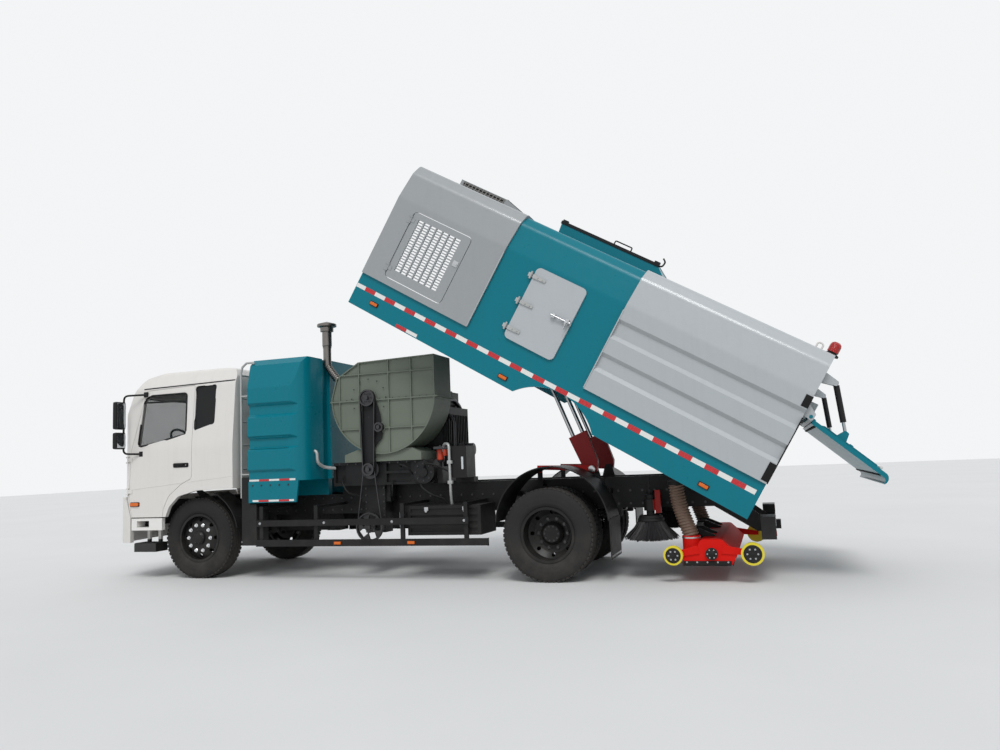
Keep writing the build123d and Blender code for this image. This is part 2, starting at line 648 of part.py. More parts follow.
def intake_box(side):
    """Black box between cab and tank, with the guard below it behind the front wheel."""
    front, rear = 714.0, TANK_FRONT - 2
    shape = box((front, rear), (side * 590, side * 1150), (930, INTAKE_BOX_TOP))
    shape += box((front, rear), (side * (RAIL_OUTER_Y + SEAT_GAP), side * 851), (930, 990))
    shape += box((front, 930), (side * 900, side * GUARD_Y[0] - side * SEAT_GAP), (420, 931))
    return shape


def precleaner_stack():
    """Intake pipe with its cap over the tank, and the ribbed hose down to the fan."""
    x, y = STACK_STATION, STACK_Y
    low, clear = 2450, 2935
    pipe = post(x, y, low, clear, 50)
    pipe += post(x, y, clear, 3190, 62)
    pipe += post(x, y, 3130, 3190, 86)
    pipe += post(x, y, 3190, 3235, 126)
    pipe += Pos(at(x), y, 3253) * Cone(126, 66, 36)
    pipe += Pos(at(x), y, low) * Sphere(50)
    # columns: station, across, height
    start, end = (x, y, low), (1930, y + 30, 2330)
    pipe += rod(start, end, 44)
    for index in range(5):
        share = 0.2 + 0.09 * index
        spot = [a + (b - a) * share for a, b in zip(start, end)]
        tip = [a + (b - a) * (share + 0.045) for a, b in zip(start, end)]
        pipe += rod(spot, tip, 50)
    pipe += box((STACK_STATION - STACK_NOTCH + SEAT_GAP, STACK_STATION), (y - 20, y + 20), (2710, 2745))
    return pipe - fan_body()


def fan_outline():
    """Side outline of the fan: a round lower half under a sloping front and a flat outlet."""
    x, z = FAN_CENTRE
    front = x - FAN_RADIUS
    edges = [
        ThreePointArc((front, z), (x, z - FAN_RADIUS), (FAN_REAR, z)),
        Line((FAN_REAR, z), (FAN_REAR, FAN_TOP_Z)),
        Line((FAN_REAR, FAN_TOP_Z), (front + 390, FAN_TOP_Z - 30)),
        Line((front + 390, FAN_TOP_Z - 30), (front + 75, z + 265)),
        Line((front + 75, z + 265), (front, z)),
    ]
    return make_face(edges)


def fan_body():
    return side_plate(fan_outline(), FAN_FACE_Y + FAN_COVER, FAN_BACK_Y)


def fan_housing():
    """Fan casing on its plinth, with a proud rim, thin ribs and the split flange across it."""
    outline = fan_outline()
    face = (FAN_FACE_Y - RIB_PROUD, FAN_FACE_Y)
    shape = side_plate(outline, FAN_FACE_Y, FAN_BACK_Y)
    rim = side_plate(outline, *face) - side_plate(offset(outline, amount=-2 * RIB_HALF), face[0] - 1, face[1] + 1)
    whole = side_plate(outline, *face)
    x, z = FAN_CENTRE
    low, high = z - FAN_RADIUS, FAN_TOP_Z
    for station in (x - 600, x - 322, x + 90, x + 400):
        rim += whole & box((station - RIB_HALF, station + RIB_HALF), face, (low, high))
    for height in (z + 300, z - 395):
        rim += whole & box((x - FAN_RADIUS, FAN_REAR), face, (height - RIB_HALF, height + RIB_HALF))
    shape += rim
    split_z = z - 35
    shape += box((x - FAN_RADIUS - 14, FAN_REAR + 34), (face[0], FAN_BACK_Y + 60), (split_z - 9, split_z + 9))
    for station, height, radius, _ in PULLEYS[:2]:
        shape += cross_bar(station, height, radius + 8, *face)
    # columns: station, height
    plinth = Polygon((1960, FAN_BASE_Z), (3020, FAN_BASE_Z), (3020, 1500), (2900, 1560), (2140, 1560),
                     (1960, 1500), align=None)
    return shape + side_plate(plinth, FAN_FACE_Y + 15, FAN_BACK_Y)


def belt_drive():
    """Pulleys down the fan's face to the spoked wheel, their shafts, and the belts round them."""
    y = BELT_Y
    shape = None
    for index, (station, z, radius, half) in enumerate(PULLEYS):
        wheel = cross_bar(station, z, radius, y - half, y + half)
        wheel -= cross_bar(station, z, radius - 18, y - half - 1, y - half + 20)
        wheel += cross_bar(station, z, 24, y - half - 12, PULLEY_SEATS[index] - SEAT_GAP)
        shape = wheel if shape is None else shape + wheel
    station, z, radius, half = PULLEYS[3]
    for index in range(5):
        window = Pos(at(station), y, z) * Rot(0, 72 * index, 0) * Pos(0.6 * radius, 0, 0)
        shape -= window * Box(0.46 * radius, 200, 0.5 * radius)
    shape += cross_bar(PULLEYS[2][0], PULLEYS[2][1], 118, y + 34, y + 42)
    for (first, second), width in (((0, 2), 18), ((2, 3), 5)):
        for sign in (-1, 1):
            shape += belt_run(PULLEYS[first], PULLEYS[second], sign, width, y)
    return shape


def belt_run(upper, lower, sign, half_width, y):
    """One straight run of belt, tangent to two pulleys, before or behind their shafts."""
    (xa, za, ra, _), (xb, zb, rb, _) = upper, lower
    reach = hypot(xa - xb, za - zb)
    lean = asin((ra - rb) / reach)
    out, up = cos(lean), sin(lean)
    start = (xa + sign * (ra - 3) * out, za + (ra - 3) * up)
    end = (xb + sign * (rb - 3) * out, zb + (rb - 3) * up)
    length = hypot(end[0] - start[0], end[1] - start[1])
    nx, nz = -(end[1] - start[1]) / length * 6, (end[0] - start[0]) / length * 6
    belt = Polygon((start[0] - nx, start[1] - nz), (end[0] - nx, end[1] - nz),
                   (end[0] + nx, end[1] + nz), (start[0] + nx, start[1] + nz), align=None)
    return side_plate(belt, y - half_width, y + half_width)


def aux_engine():
    """The fan's own engine as a plain block, with the machinery bed, drive casing and drum beside it."""
    block = box((2240, 3160), (-200, 560), (1190, 2080))
    block += box((2340, 3060), (-120, 480), (2080, 2300))
    for x in (2360, 3040):
        block += box((x - 50, x + 50), (-BEARER_HALF, RAIL_OUTER_Y), (RUNNER_TOP_Z + SEAT_GAP, 1191))
    bed_zs = (RUNNER_TOP_Z + SEAT_GAP, FAN_BASE_Z - SEAT_GAP)
    bed = box((1770, 3160), (MACHINE_FACE_Y, -BEARER_HALF - SEAT_GAP), bed_zs)
    # columns: front station, rear station, low, high
    for x0, x1, z0, z1 in ((1800, 1950, 1150, 1370), (2520, 2860, 1140, 1250), (2520, 2860, 1280, 1380)):
        bed -= box((x0, x1), (MACHINE_FACE_Y - 1, MACHINE_FACE_Y + 45), (z0, z1))
    bed += box((2180, 2440), (-BEARER_HALF - 2, -200 - SEAT_GAP), (1210, 1390))
    bed += cross_bar(3060, 1250, 138, -765, MACHINE_FACE_Y + 20) + cross_bar(3060, 1250, 56, -785, -760)
    casing = box((2190, 2470), (CASING_FACE_Y, -RAIL_OUTER_Y - 15), (520, RUNNER_TOP_Z))
    casing += box((2130, 2530), (CASING_FACE_Y + 30, -RAIL_OUTER_Y - 15), (900, RUNNER_TOP_Z))
    return [block, bed, casing]


def side_tanks():
    """Oil tank, filter and pipe on the left, fuel tank and battery box on the right."""
    oil = box((3400, 3640), (-800, -500), (1170, 1550))
    oil += box((3400, 3640), (-560, -RAIL_OUTER_Y + 10), (RUNNER_TOP_Z + SEAT_GAP, 1172))
    filter_body = Pos(at(3225), -600, 1450) * Cylinder(42, 160)
    filter_body += Pos(at(3225), -600, 1340) * Cylinder(20, 70)
    filter_body += box((3190, 3260), (-640, -RAIL_OUTER_Y + 10), (RUNNER_TOP_Z + SEAT_GAP, 1310))
    fuel = side_plate(rounded([(1900, 480), (2900, 480), (2900, 960), (1900, 960)], 60), 560, 1080)
    fuel += box((2050, 2130), (RAIL_OUTER_Y + SEAT_GAP, 562), (800, 940))
    fuel += box((2650, 2730), (RAIL_OUTER_Y + SEAT_GAP, 562), (800, 940))
    battery = box((1100, 1640), (620, 1080), (560, 900))
    battery += box((1200, 1540), (RAIL_OUTER_Y + SEAT_GAP, 621), (800, 880))
    front, rear = LOCKER
    locker = box((front, rear), (-1080, -560), (520, 860))
    for index in range(4):
        z = 560 + index * 75
        locker -= box((front + 40, rear - 40), (-1081, -1066), (z, z + 40))
    for x in (front + 120, rear - 200):
        locker += box((x, x + 80), (-561, -RAIL_OUTER_Y - SEAT_GAP), (800, 850))
    return [oil, filter_body, fuel, battery, locker]


def side_guards():
    """Two rails along each side with their stays to the frame."""
    shapes = []
    for side in (-1, 1):
        ys = (side * GUARD_Y[0], side * GUARD_Y[1])
        upper = box((945, WHEELBASE - 920), ys, (655, 730))
        lower = box((945, WHEELBASE - 690), ys, (410, 490))
        shape = upper + lower
        for x in (1000, 1780, 2940, WHEELBASE - 960):
            shape += box((x - 25, x + 25), (side * 1120, side * 1152), (410, 900))
            shape += box((x - 25, x + 25), (side * (RAIL_OUTER_Y + SEAT_GAP), side * 1122), (870, 900))
        shapes.append(shape)
    return shapes


def mudguards():
    """Arched guards over the wheels, with the flaps behind the rear ones."""
    shapes = []
    for side in (-1, 1):
        front = arc_band((0, TYRE_RADIUS), 634, 622, 12, 66, side * 820, side * 1120)
        front += box((560, 600), (side * (RAIL_OUTER_Y + SEAT_GAP), side * 825), (790, 820))
        lead = arc_band((0, TYRE_RADIUS), 634, 622, 128, 163, side * 820, side * 1120)
        lead += box((-590, -550), (side * (RAIL_OUTER_Y + SEAT_GAP), side * 825), (770, 800))
        rear = arc_band(MUDGUARD_CENTRE, 650, 638, 4, 176, side * 570, side * 1172)
        for x in (MUDGUARD_CENTRE[0] - 550, MUDGUARD_CENTRE[0] + 550):
            rear += box((x - 20, x + 20), (side * (RAIL_OUTER_Y + SEAT_GAP), side * 600), (925, 980))
        flap = box((FLAP_STATION, FLAP_STATION + 12), (side * 580, side * 1165), (250, 680))
        shapes += [front, lead, rear + flap, intake_box(side)]
    return shapes


def rear_bumper():
    """Low bar across the tail with a lamp box at each end, its hangers and the tow eye."""
    front, rear = RAIL_REAR + 390, RAIL_REAR + 535
    beam = box((front, rear), (-1150, 1150), (450, 560))
    for side in (-1, 1):
        lamp = box((front, rear), (side * 830, side * 1150), (450, 680))
        lamp -= box((rear - 12, rear + 1), (side * 850, side * 1130), (575, 655))
        beam += lamp
        # columns: station, height
        hanger = Polygon((RAIL_REAR - 120, 760), (RAIL_REAR - 120, 960), (RAIL_REAR - 20, 960),
                         (front + 50, 600), (front + 50, 470), (front - 50, 470), align=None)
        beam += side_plate(hanger, side * (RAIL_OUTER_Y + SEAT_GAP), side * (RAIL_OUTER_Y + 14))
    eye_x = rear + 27
    eye = box((rear - 1, rear + 55), (-60, 60), (460, 560)) - post(eye_x, 0, 400, 600, TOW_EYE_RADIUS)
    return beam + eye


def suction_hoses():
    shapes = []
    for side in (-1, 1):
        y = side * HOSE_Y
        foot = (HOSE_FOOT_STATION + 11, y, NOZZLE_STUB_Z - 60)
        hose = rod((HOSE_TOP_STATION, y, HOSE_TOP_Z + 60), foot, HOSE_RADIUS)
        span = (NOZZLE_STUB_Z + SEAT_GAP, HOSE_TOP_Z)
        stations = (HOSE_TOP_STATION - 200, HOSE_FOOT_STATION + 175)
        shapes.append(hose & box(stations, (side * 700, side * 1100), span))
    return shapes


# Cab

def cab_form(inset):
    """The cab's outer form drawn in by a distance: side, plan and front outlines crossed."""
    # columns: station, height
    side = [
        (CAB_FRONT, 1085), (CAB_FRONT + 10, 1600), (-1010, 2450), (-870, 2635), (-560, CAB_ROOF_Z - 4),
        (400, CAB_ROOF_Z), (570, CAB_ROOF_Z - 20), (CAB_REAR, 2590), (CAB_REAR, 1140), (60, 1130),
        (-230, 1062), (-375, 930), (-432, CAB_SKIRT_Z), (-990, CAB_SKIRT_Z), (-1050, 1000), (-1086, 1085),
    ]
    radii = [0, 120, 260, 240, 500, 500, 60, 60, 0, 300, 150, 120, 0, 0, 0, 0]
    # columns: station, across
    plan = [
        (CAB_REAR, -CAB_HALF_WIDTH), (-1150, -CAB_HALF_WIDTH), (CAB_FRONT, -500), (CAB_FRONT, 500),
        (-1150, CAB_HALF_WIDTH), (CAB_REAR, CAB_HALF_WIDTH),
    ]
    # columns: across, height
    front = [
        (-1200, 780), (-1200, 1700), (-1128, 2500), (-1040, CAB_ROOF_Z + 12), (1040, CAB_ROOF_Z + 12),
        (1128, 2500), (1200, 1700), (1200, 780),
    ]
    outlines = (
        rounded(side, radii),
        rounded(plan, [0, 220, 1200, 1200, 220, 0]),
        rounded(front, [0, 900, 160, 90, 90, 160, 900, 0]),
    )
    if inset > 0:
        outlines = [offset(o, amount=-inset, kind=Kind.INTERSECTION) for o in outlines]
    reach = CAB_HALF_WIDTH + 50
    form = side_plate(outlines[0], -reach, reach)
    form &= top_plate(outlines[1], 600, 2900)
    form &= front_plate(outlines[2], -1500, 800)
    return form


# Outlines on the cab's side: station, height
DOOR_OUTLINE = [
    (-968, 800), (-1022, 1000), (-1032, 1090), (-990, 1660), (-800, 2470), (-20, 2500),
    (-20, 1290), (-180, 1220), (-380, 1075), (-470, 900), (-480, 800)]
DOOR_RADII = [0, 0, 0, 0, 40, 10, 60, 150, 150, 60, 0]
DOOR_GLASS = [(-883, 1721), (-838, 2330), (-760, 2405), (-139, 2408), (-122, 1863)]
DOOR_GLASS_RADII = [20, 60, 40, 60, 20]
QUARTER = [(8, 1903), (0, 2482), (318, 2488), (312, 1985)]
QUARTER_RADII = [8, 8, 30, 60]


def side_prism(points, radii, side, inset=0.0):
    outline = rounded(points, radii)
    if inset:
        outline = offset(outline, amount=-inset, kind=Kind.INTERSECTION)
    return side_plate(outline, side * 1000, side * 1300)


def windscreen_prism(inset=0.0):
    # columns: across, height
    outline = rounded([(-1050, 1665), (-960, 2395), (960, 2395), (1050, 1665)], 70)
    if inset:
        outline = offset(outline, amount=-inset, kind=Kind.INTERSECTION)
    return front_plate(outline, -1400, -800)


class CabForms:
    """The cab's forms at the depths that its panels and glass need, made once."""

    outer = cab_form(0)
    inner = cab_form(CAB_WALL)
    lining = cab_form(CAB_WALL + 2)
    rebate = cab_form(DOOR_SKIN)
    glass_outer = cab_form(GLASS_INSET)
    glass_inner = cab_form(GLASS_INSET + GLASS_THICK)


def cab_walls():
    cabin = CabForms.inner & box((-1500, 800), (-1300, 1300), (CAB_FLOOR_Z, 2900))
    inner_y = CAB_HALF_WIDTH - CAB_WALL
    under_z = CAB_FLOOR_Z - CAB_FLOOR_THICK
    under = box((-1240, CAB_REAR + 50), (-inner_y, inner_y), (700, under_z))
    walls = CabForms.outer - cabin - under
    x, z = CAB_HINGE
    outline = rounded([(x - 34, under_z + 1), (x - 24, z - 22), (x + 24, z - 22), (x + 60, under_z + 1)],
                      [0, 18, 18, 0])
    for side in (-1, 1):
        ear = side_plate(outline, side * (CAB_EAR_Y - 12), side * (CAB_EAR_Y + 12))
        bore = cross_bar(x, z, CAB_HINGE_PIN + RUNNING_FIT, side * (CAB_EAR_Y - 30), side * (CAB_EAR_Y + 30))
        walls += ear - bore
    return walls


def door_hinges(side, on_door):
    """Two hinges in front of a door: middle barrels on the door, outer ones and pins on the cab."""
    x, y = DOOR_HINGE
    shape = None
    for z in DOOR_HINGE_HEIGHTS:
        if on_door:
            pieces = Pos(at(x), side * y, z) * Cylinder(HINGE_RADIUS, 50)
            pieces += box((x, x + 75), (side * (y - 4), side * (y + 3)), (z - 25, z + 25))
            pieces -= Pos(at(x), side * y, z) * Cylinder(HINGE_PIN + RUNNING_FIT, 60)
        else:
            pieces = Pos(at(x), side * y, z) * Cylinder(HINGE_PIN, 90)
            for low in (z - 46, z + 26):
                pieces += Pos(at(x), side * y, low + 10) * Cylinder(HINGE_RADIUS, 20)
                pieces += box((x - 30, x), (side * (y - 40), side * (y + 3)), (low, low + 20))
        shape = pieces if shape is None else shape + pieces
    return shape


def cab_shell(walls):
    shell = walls
    for side in (-1, 1):
        opening = side_prism(DOOR_OUTLINE, DOOR_RADII, side, -DOOR_GAP)
        opening += side_prism(DOOR_OUTLINE, DOOR_RADII, side, -REBATE_GAP) & CabForms.rebate
        shell -= opening - CabForms.lining
        shell += door_hinges(side, False)
        pocket = side_prism(QUARTER, QUARTER_RADII, side) - CabForms.glass_inner
        shell -= pocket
    shell -= windscreen_prism()
    return shell


def cab_door(walls, side):
    door = (walls & side_prism(DOOR_OUTLINE, DOOR_RADII, side)) - CabForms.inner
    door -= side_prism(DOOR_GLASS, DOOR_GLASS_RADII, side)
    return door + door_hinges(side, True)


def glass_layer():
    return CabForms.glass_outer - CabForms.glass_inner


def cab_trim(layer):
    """Black quarter panels and the grille across the cab's nose."""
    shapes = [layer & side_prism(QUARTER, QUARTER_RADII, side, SEAT_GAP) for side in (-1, 1)]
    grille = box((CAB_FRONT - 24, CAB_FRONT + 15), (-470, 470), (1150, 1500)) - CabForms.outer
    for index in range(5):
        z = 1180 + index * 62
        grille -= box((CAB_FRONT - 30, CAB_FRONT - 12), (-440, 440), (z, z + 36))
    return shapes + [grille]


def cab_interior():
    """Dash, seats and the steering wheel on its column, seen through the glass."""
    low = CAB_FLOOR_Z + 210
    dash_outline = Polygon((-1150, low), (-1180, 1640), (-1020, 1700), (-820, 1640), (-860, low), align=None)
    dash = side_plate(dash_outline, -1080, 1080)
    floor = box((-1000, -600), (-260, 260), (CAB_FLOOR_Z + SEAT_GAP, CAB_FLOOR_Z + 260))
    tunnel = box((-650, 450), (-270, 270), (CAB_FLOOR_Z + SEAT_GAP, CAB_FLOOR_Z + 230))
    body = (dash & CabForms.lining) + floor + tunnel
    seats = []
    for y in (-640, 640):
        seat = box((-260, 260), (y - 240, y + 240), (CAB_FLOOR_Z + 260, CAB_FLOOR_Z + 390))
        seat += box((-160, 160), (y - 180, y + 180), (CAB_FLOOR_Z + SEAT_GAP, CAB_FLOOR_Z + 265))
        back_foot = CAB_FLOOR_Z + 380
        back = Polygon((190, back_foot), (320, back_foot), (420, 2180), (310, 2180), align=None)
        seat += side_plate(back, y - 230, y + 230)
        rest = Polygon((330, 2175), (410, 2175), (430, 2340), (350, 2340), align=None)
        seat += side_plate(rest, y - 130, y + 130)
        seats.append(seat)
    column = rod((-880, -600, 1620), (-640, -600, 1790), 28)
    wheel = Plane(origin=(at(-640), -600, 1790), z_dir=(0.82, 0, 0.57)) * Torus(215, 16)
    spokes = Plane(origin=(at(-640), -600, 1790), z_dir=(0.82, 0, 0.57)) * Box(60, 420, 20)
    return [body + column + wheel + spokes] + seats


def mirror_pair(side):
    """Tall main mirror over the wide one, on arms from the door."""
    y0, y1 = side * 1290, side * 1470
    head = box((-1062, -990), (y0, y1), (1960, 2330))
    head += box((-1062, -990), (y0, y1), (1700, 1925))
    bar_y = side * 1300
    bar = rod((-1030, bar_y, 1640), (-1030, bar_y, 2415), 13)
    arms = rod((-1030, bar_y, 2415), (-800, side * 1150, 2425), 13)
    arms += Pos(at(-1030), bar_y, 2415) * Sphere(13)
    arms += rod((-1030, bar_y, 1640), (-833, side * 1196, 1632), 15)
    arms += Pos(at(-1030), bar_y, 1640) * Sphere(15)
    return head + bar + arms - CabForms.outer


# Hopper

def hopper_outline(proud):
    """Cross-section of the hopper's skin, right half then left, drawn out by a distance."""
    w = HOPPER_HALF_WIDTH + proud
    # columns: across, height
    half = [(w, HOPPER_BAND_Z), (w, HOPPER_RIDGE_Z), (w - 60, 2690), (w - 150, HOPPER_ROOF_Z + proud)]
    left = [(-y, z) for y, z in reversed(half)]
    return rounded(half + left, [0, 200, 120, 90, 90, 120, 200, 0])


def hopper_skin(x0, x1, proud, wall):
    outer = front_plate(hopper_outline(proud), x0, x1)
    lining = offset(hopper_outline(proud), amount=-wall, kind=Kind.INTERSECTION)
    inner = front_plate(lining, x0 - 1, x1 + 1)
    half = HOPPER_HALF_WIDTH + proud - wall
    inner += box((x0 - 1, x1 + 1), (-half, half), (HOPPER_BAND_Z - 1, HOPPER_BAND_Z + 200))
    return outer - inner


def hopper_body():
    """Teal load box: skirts, folded floor, front bulkhead, middle skin, beams and pivot arms."""
    w = HOPPER_HALF_WIDTH
    skirt = w - PANEL_WALL
    low = HOPPER_BOTTOM_Z
    ledge = HOPPER_BAND_Z - FLOOR_WALL
    # columns: across, height; outside up, then back down the inside
    outside = [(w, low), (w, HOPPER_BAND_Z), (w - 35, HOPPER_BAND_Z), (w - 35, FLOOR_Z)]
    inside = [(w - 65, FLOOR_Z - FLOOR_WALL), (w - 65, ledge), (skirt, ledge), (skirt, low)]
    points = outside + [(-y, z) for y, z in reversed(outside)]
    points += [(-y, z) for y, z in reversed(inside)] + inside
    shape = front_plate(Polygon(*points, align=None), STEP_REAR - 30, HOPPER_REAR)
    band = [(w, low), (w, HOPPER_BAND_Z), (w - 65, HOPPER_BAND_Z), (w - 65, ledge), (skirt, ledge),
            (skirt, low)]
    for side in (-1, 1):
        shape += front_plate(Polygon(*[(side * y, z) for y, z in band], align=None), HOPPER_FRONT, STEP_REAR)
    sill = w - 64
    shape += box((HOPPER_REAR - 120, HOPPER_REAR), (-sill, sill), (1290, FLOOR_Z - FLOOR_WALL + 1))
    inner = w - PANEL_WALL
    shape += box((HOOD_REAR + 20, STEP_REAR), (-inner - 1, inner + 1), (STEP_Z - FLOOR_WALL, STEP_Z))
    shape += box((STEP_REAR - 30, STEP_REAR), (-inner - 1, inner + 1), (FLOOR_Z - FLOOR_WALL, STEP_Z))
    shape += hopper_skin(HOOD_REAR, MIDDLE_REAR, 0, PANEL_WALL)
    lining = offset(hopper_outline(0), amount=-PANEL_WALL + 1, kind=Kind.INTERSECTION)
    bulk = front_plate(lining, HOOD_REAR + 20, HOOD_REAR + 50)
    bulk &= box((HOOD_REAR, HOOD_REAR + 60), (-HOPPER_CLEAR, HOPPER_CLEAR), (STEP_Z - FLOOR_WALL, 2900))
    shape += bulk
    for side in (-1, 1):
        shape += box((STEP_REAR - 30, PIVOT[0] + 80), (side * (RAIL_OUTER_Y - 70), side * RAIL_OUTER_Y),
                     (RUNNER_TOP_Z + 40, FLOOR_Z - FLOOR_WALL + 1))
        shape += pivot_arm(side)
        for y in (HOIST_Y - HOIST_EAR_GAP - LUG_THICK, HOIST_Y + HOIST_EAR_GAP):
            shape += lug_plate(HOIST_EYE, (0, 1), FLOOR_Z - FLOOR_WALL + 1 - HOIST_EYE[1], 32, 60, side * y,
                               side * (y + LUG_THICK))
        shape -= arch_cut(side)
    x0, x1, z0, z1 = HATCH
    mouth = rounded([(x0 + 50, z0 + 60), (x1 - 50, z0 + 60), (x1 - 50, z1 - 60), (x0 + 50, z1 - 60)], 60)
    shape -= side_plate(mouth, -HOPPER_CLEAR, 70 - HOPPER_HALF_WIDTH)
    foot = HOPPER_ROOF_Z - 20
    box_outline = Polygon((3545, foot), (3520, 2985), (4790, 2990), (5030, foot), align=None)
    roof_box = side_plate(box_outline, -610, 610)
    shape += roof_box & box((3400, MIDDLE_REAR), (-700, 700), (HOPPER_ROOF_Z - 15, 3000))
    over = HOPPER_ROOF_Z + PANEL_PROUD + SEAT_GAP
    shape += roof_box & box((MIDDLE_REAR - 1, MIDDLE_REAR + 190), (-700, 700), (over, 3000))
    return shape


def pivot_arm(side):
    """Plate under the floor that turns on the pivot pin."""
    x, z = PIVOT
    top = FLOOR_Z - FLOOR_WALL + 1
    outline = rounded([(x - 150, top), (x - 60, z - 40), (x + 60, z - 40), (x + 150, top)], [0, 55, 55, 0])
    arm = side_plate(outline, side * (RAIL_OUTER_Y + 10), side * (RAIL_OUTER_Y + 50))
    return arm - cross_bar(x, z, PIVOT_RADIUS + RUNNING_FIT, side * 400, side * 600)


def lug_plate(eye, direction, reach, tip, root, y0, y1):
    """A tapered plate round an eye, widening to its root in the given (along, up) direction."""
    (ex, ez), (dx, dz) = eye, direction
    # columns: along the plate, across it
    outline = [(reach, -root), (-tip + 2, -tip), (-tip + 2, tip), (reach, root)]
    points = [(ex + dx * a - dz * b, ez + dz * a + dx * b) for a, b in outline]
    return side_plate(rounded(points, [0, tip * 0.7, tip * 0.7, 0]), y0, y1)


def arch_cut(side):
    """The wheel cut in the skirt: an arc from its lower edge."""
    front = (WHEELBASE - 580, HOPPER_BOTTOM_Z - 5)
    rear = (WHEELBASE + 465, HOPPER_BOTTOM_Z - 5)
    edges = [ThreePointArc(front, (WHEELBASE - 60, 1172), rear), Line(rear, front)]
    return side_plate(make_face(edges), side * (HOPPER_HALF_WIDTH - 60), side * (HOPPER_HALF_WIDTH + 30))


def hopper_hood():
    """Grey hood over the fan, open below and in front, with its louvre openings and roof vent."""
    hood = hopper_skin(HOPPER_FRONT, HOOD_REAR - SEAT_GAP, PANEL_PROUD, PANEL_WALL)
    hood &= box((HOPPER_FRONT - 5, HOOD_REAR + 5), (-HOPPER_CLEAR, HOPPER_CLEAR), (HOPPER_BAND_Z + SEAT_GAP, 3000))
    gap = MOVING_GAP
    for side in (-1, 1):
        hood -= side_plate(leaf_outline(gap), side * (HOPPER_HALF_WIDTH - 70), side * HOPPER_CLEAR)
        hood += leaf_hinges(side, False)
    vent_outline = Polygon((2000, 2800), (2000, 2960), (2690, 2960), (3200, 2825), (3200, 2800), align=None)
    vent = side_plate(vent_outline, -500, 500)
    hood += vent & box((1900, 3250), (-500, 500), (HOPPER_ROOF_Z + 5, 3000))
    return hood


def leaf_outline(gap=0.0):
    """Outline of a louvred door, grown by the gap round it."""
    x0, x1, z0, z1 = LOUVRE
    points = [(x0 - gap, z0 - gap), (x1 + gap, z0 - gap), (x1 + gap, z1 + gap), (x0 - gap, z1 + gap)]
    return rounded(points, 55 + gap)


def leaf_hinges(side, on_leaf):
    """Hinges at a louvre door's front edge: middle barrels on the leaf, outer ones and pins on the hood."""
    x, face = LOUVRE[0], HOPPER_HALF_WIDTH + PANEL_PROUD
    y = face + LEAF_HINGE_OUT
    shape = None
    for z in (LOUVRE[2] + 110, LOUVRE[3] - 110):
        if on_leaf:
            pieces = Pos(at(x), side * y, z) * Cylinder(HINGE_RADIUS, 50)
            pieces += box((x, x + 50), (side * (face - 4), side * (face + 5)), (z - 25, z + 25))
            pieces -= Pos(at(x), side * y, z) * Cylinder(HINGE_PIN + RUNNING_FIT, 60)
        else:
            pieces = Pos(at(x), side * y, z) * Cylinder(HINGE_PIN, 90)
            for low in (z - 46, z + 26):
                pieces += Pos(at(x), side * y, low + 10) * Cylinder(HINGE_RADIUS, 20)
                pieces += box((x - 50, x), (side * (face - 4), side * (face + 5)), (low, low + 20))
        shape = pieces if shape is None else shape + pieces
    return shape


def louvre_door(side):
    """Vented door in the hood's side, hinged along its front edge: rows of slots between its bars."""
    x0, x1, z0, z1 = LOUVRE
    y1 = HOPPER_HALF_WIDTH + PANEL_PROUD
    y0 = y1 - 24
    door = side_plate(leaf_outline(), side * y0, side * y1)
    left, right, low, high = x0 + 85, x1 - 115, z0 + 105, z1 - 65
    pitch, rise = (right - left) / LOUVRE_COLUMNS, (high - low) / LOUVRE_ROWS
    slot = Box(pitch - 16, 80, rise - 16)
    slots = [Pos(at(left + (i + 0.5) * pitch), side * y1, low + (j + 0.5) * rise) * slot
             for i in range(LOUVRE_COLUMNS) for j in range(LOUVRE_ROWS)]
    door -= slots
    swing = Pos(at(x0), side * (y1 + LEAF_HINGE_OUT), (z0 + z1) / 2)
    door -= swing * Cylinder(HINGE_RADIUS + 3, z1 - z0 + 10)
    return door + leaf_hinges(side, True)


def hatch():
    x0, x1, z0, z1 = HATCH
    y = HOPPER_HALF_WIDTH + SEAT_GAP
    leaf = side_plate(rounded([(x0, z0), (x1, z0), (x1, z1), (x0, z1)], 60), -y, -y - 24)
    for z in (1560, 1880, 2200):
        leaf += box((x0 - 4, x0 + 90), (-y - 20, -y - 34), (z - 20, z + 20))
    leaf += box((x1 - 120, x1 + 10), (-y - 20, -y - 44), (1880, 1910))
    return leaf


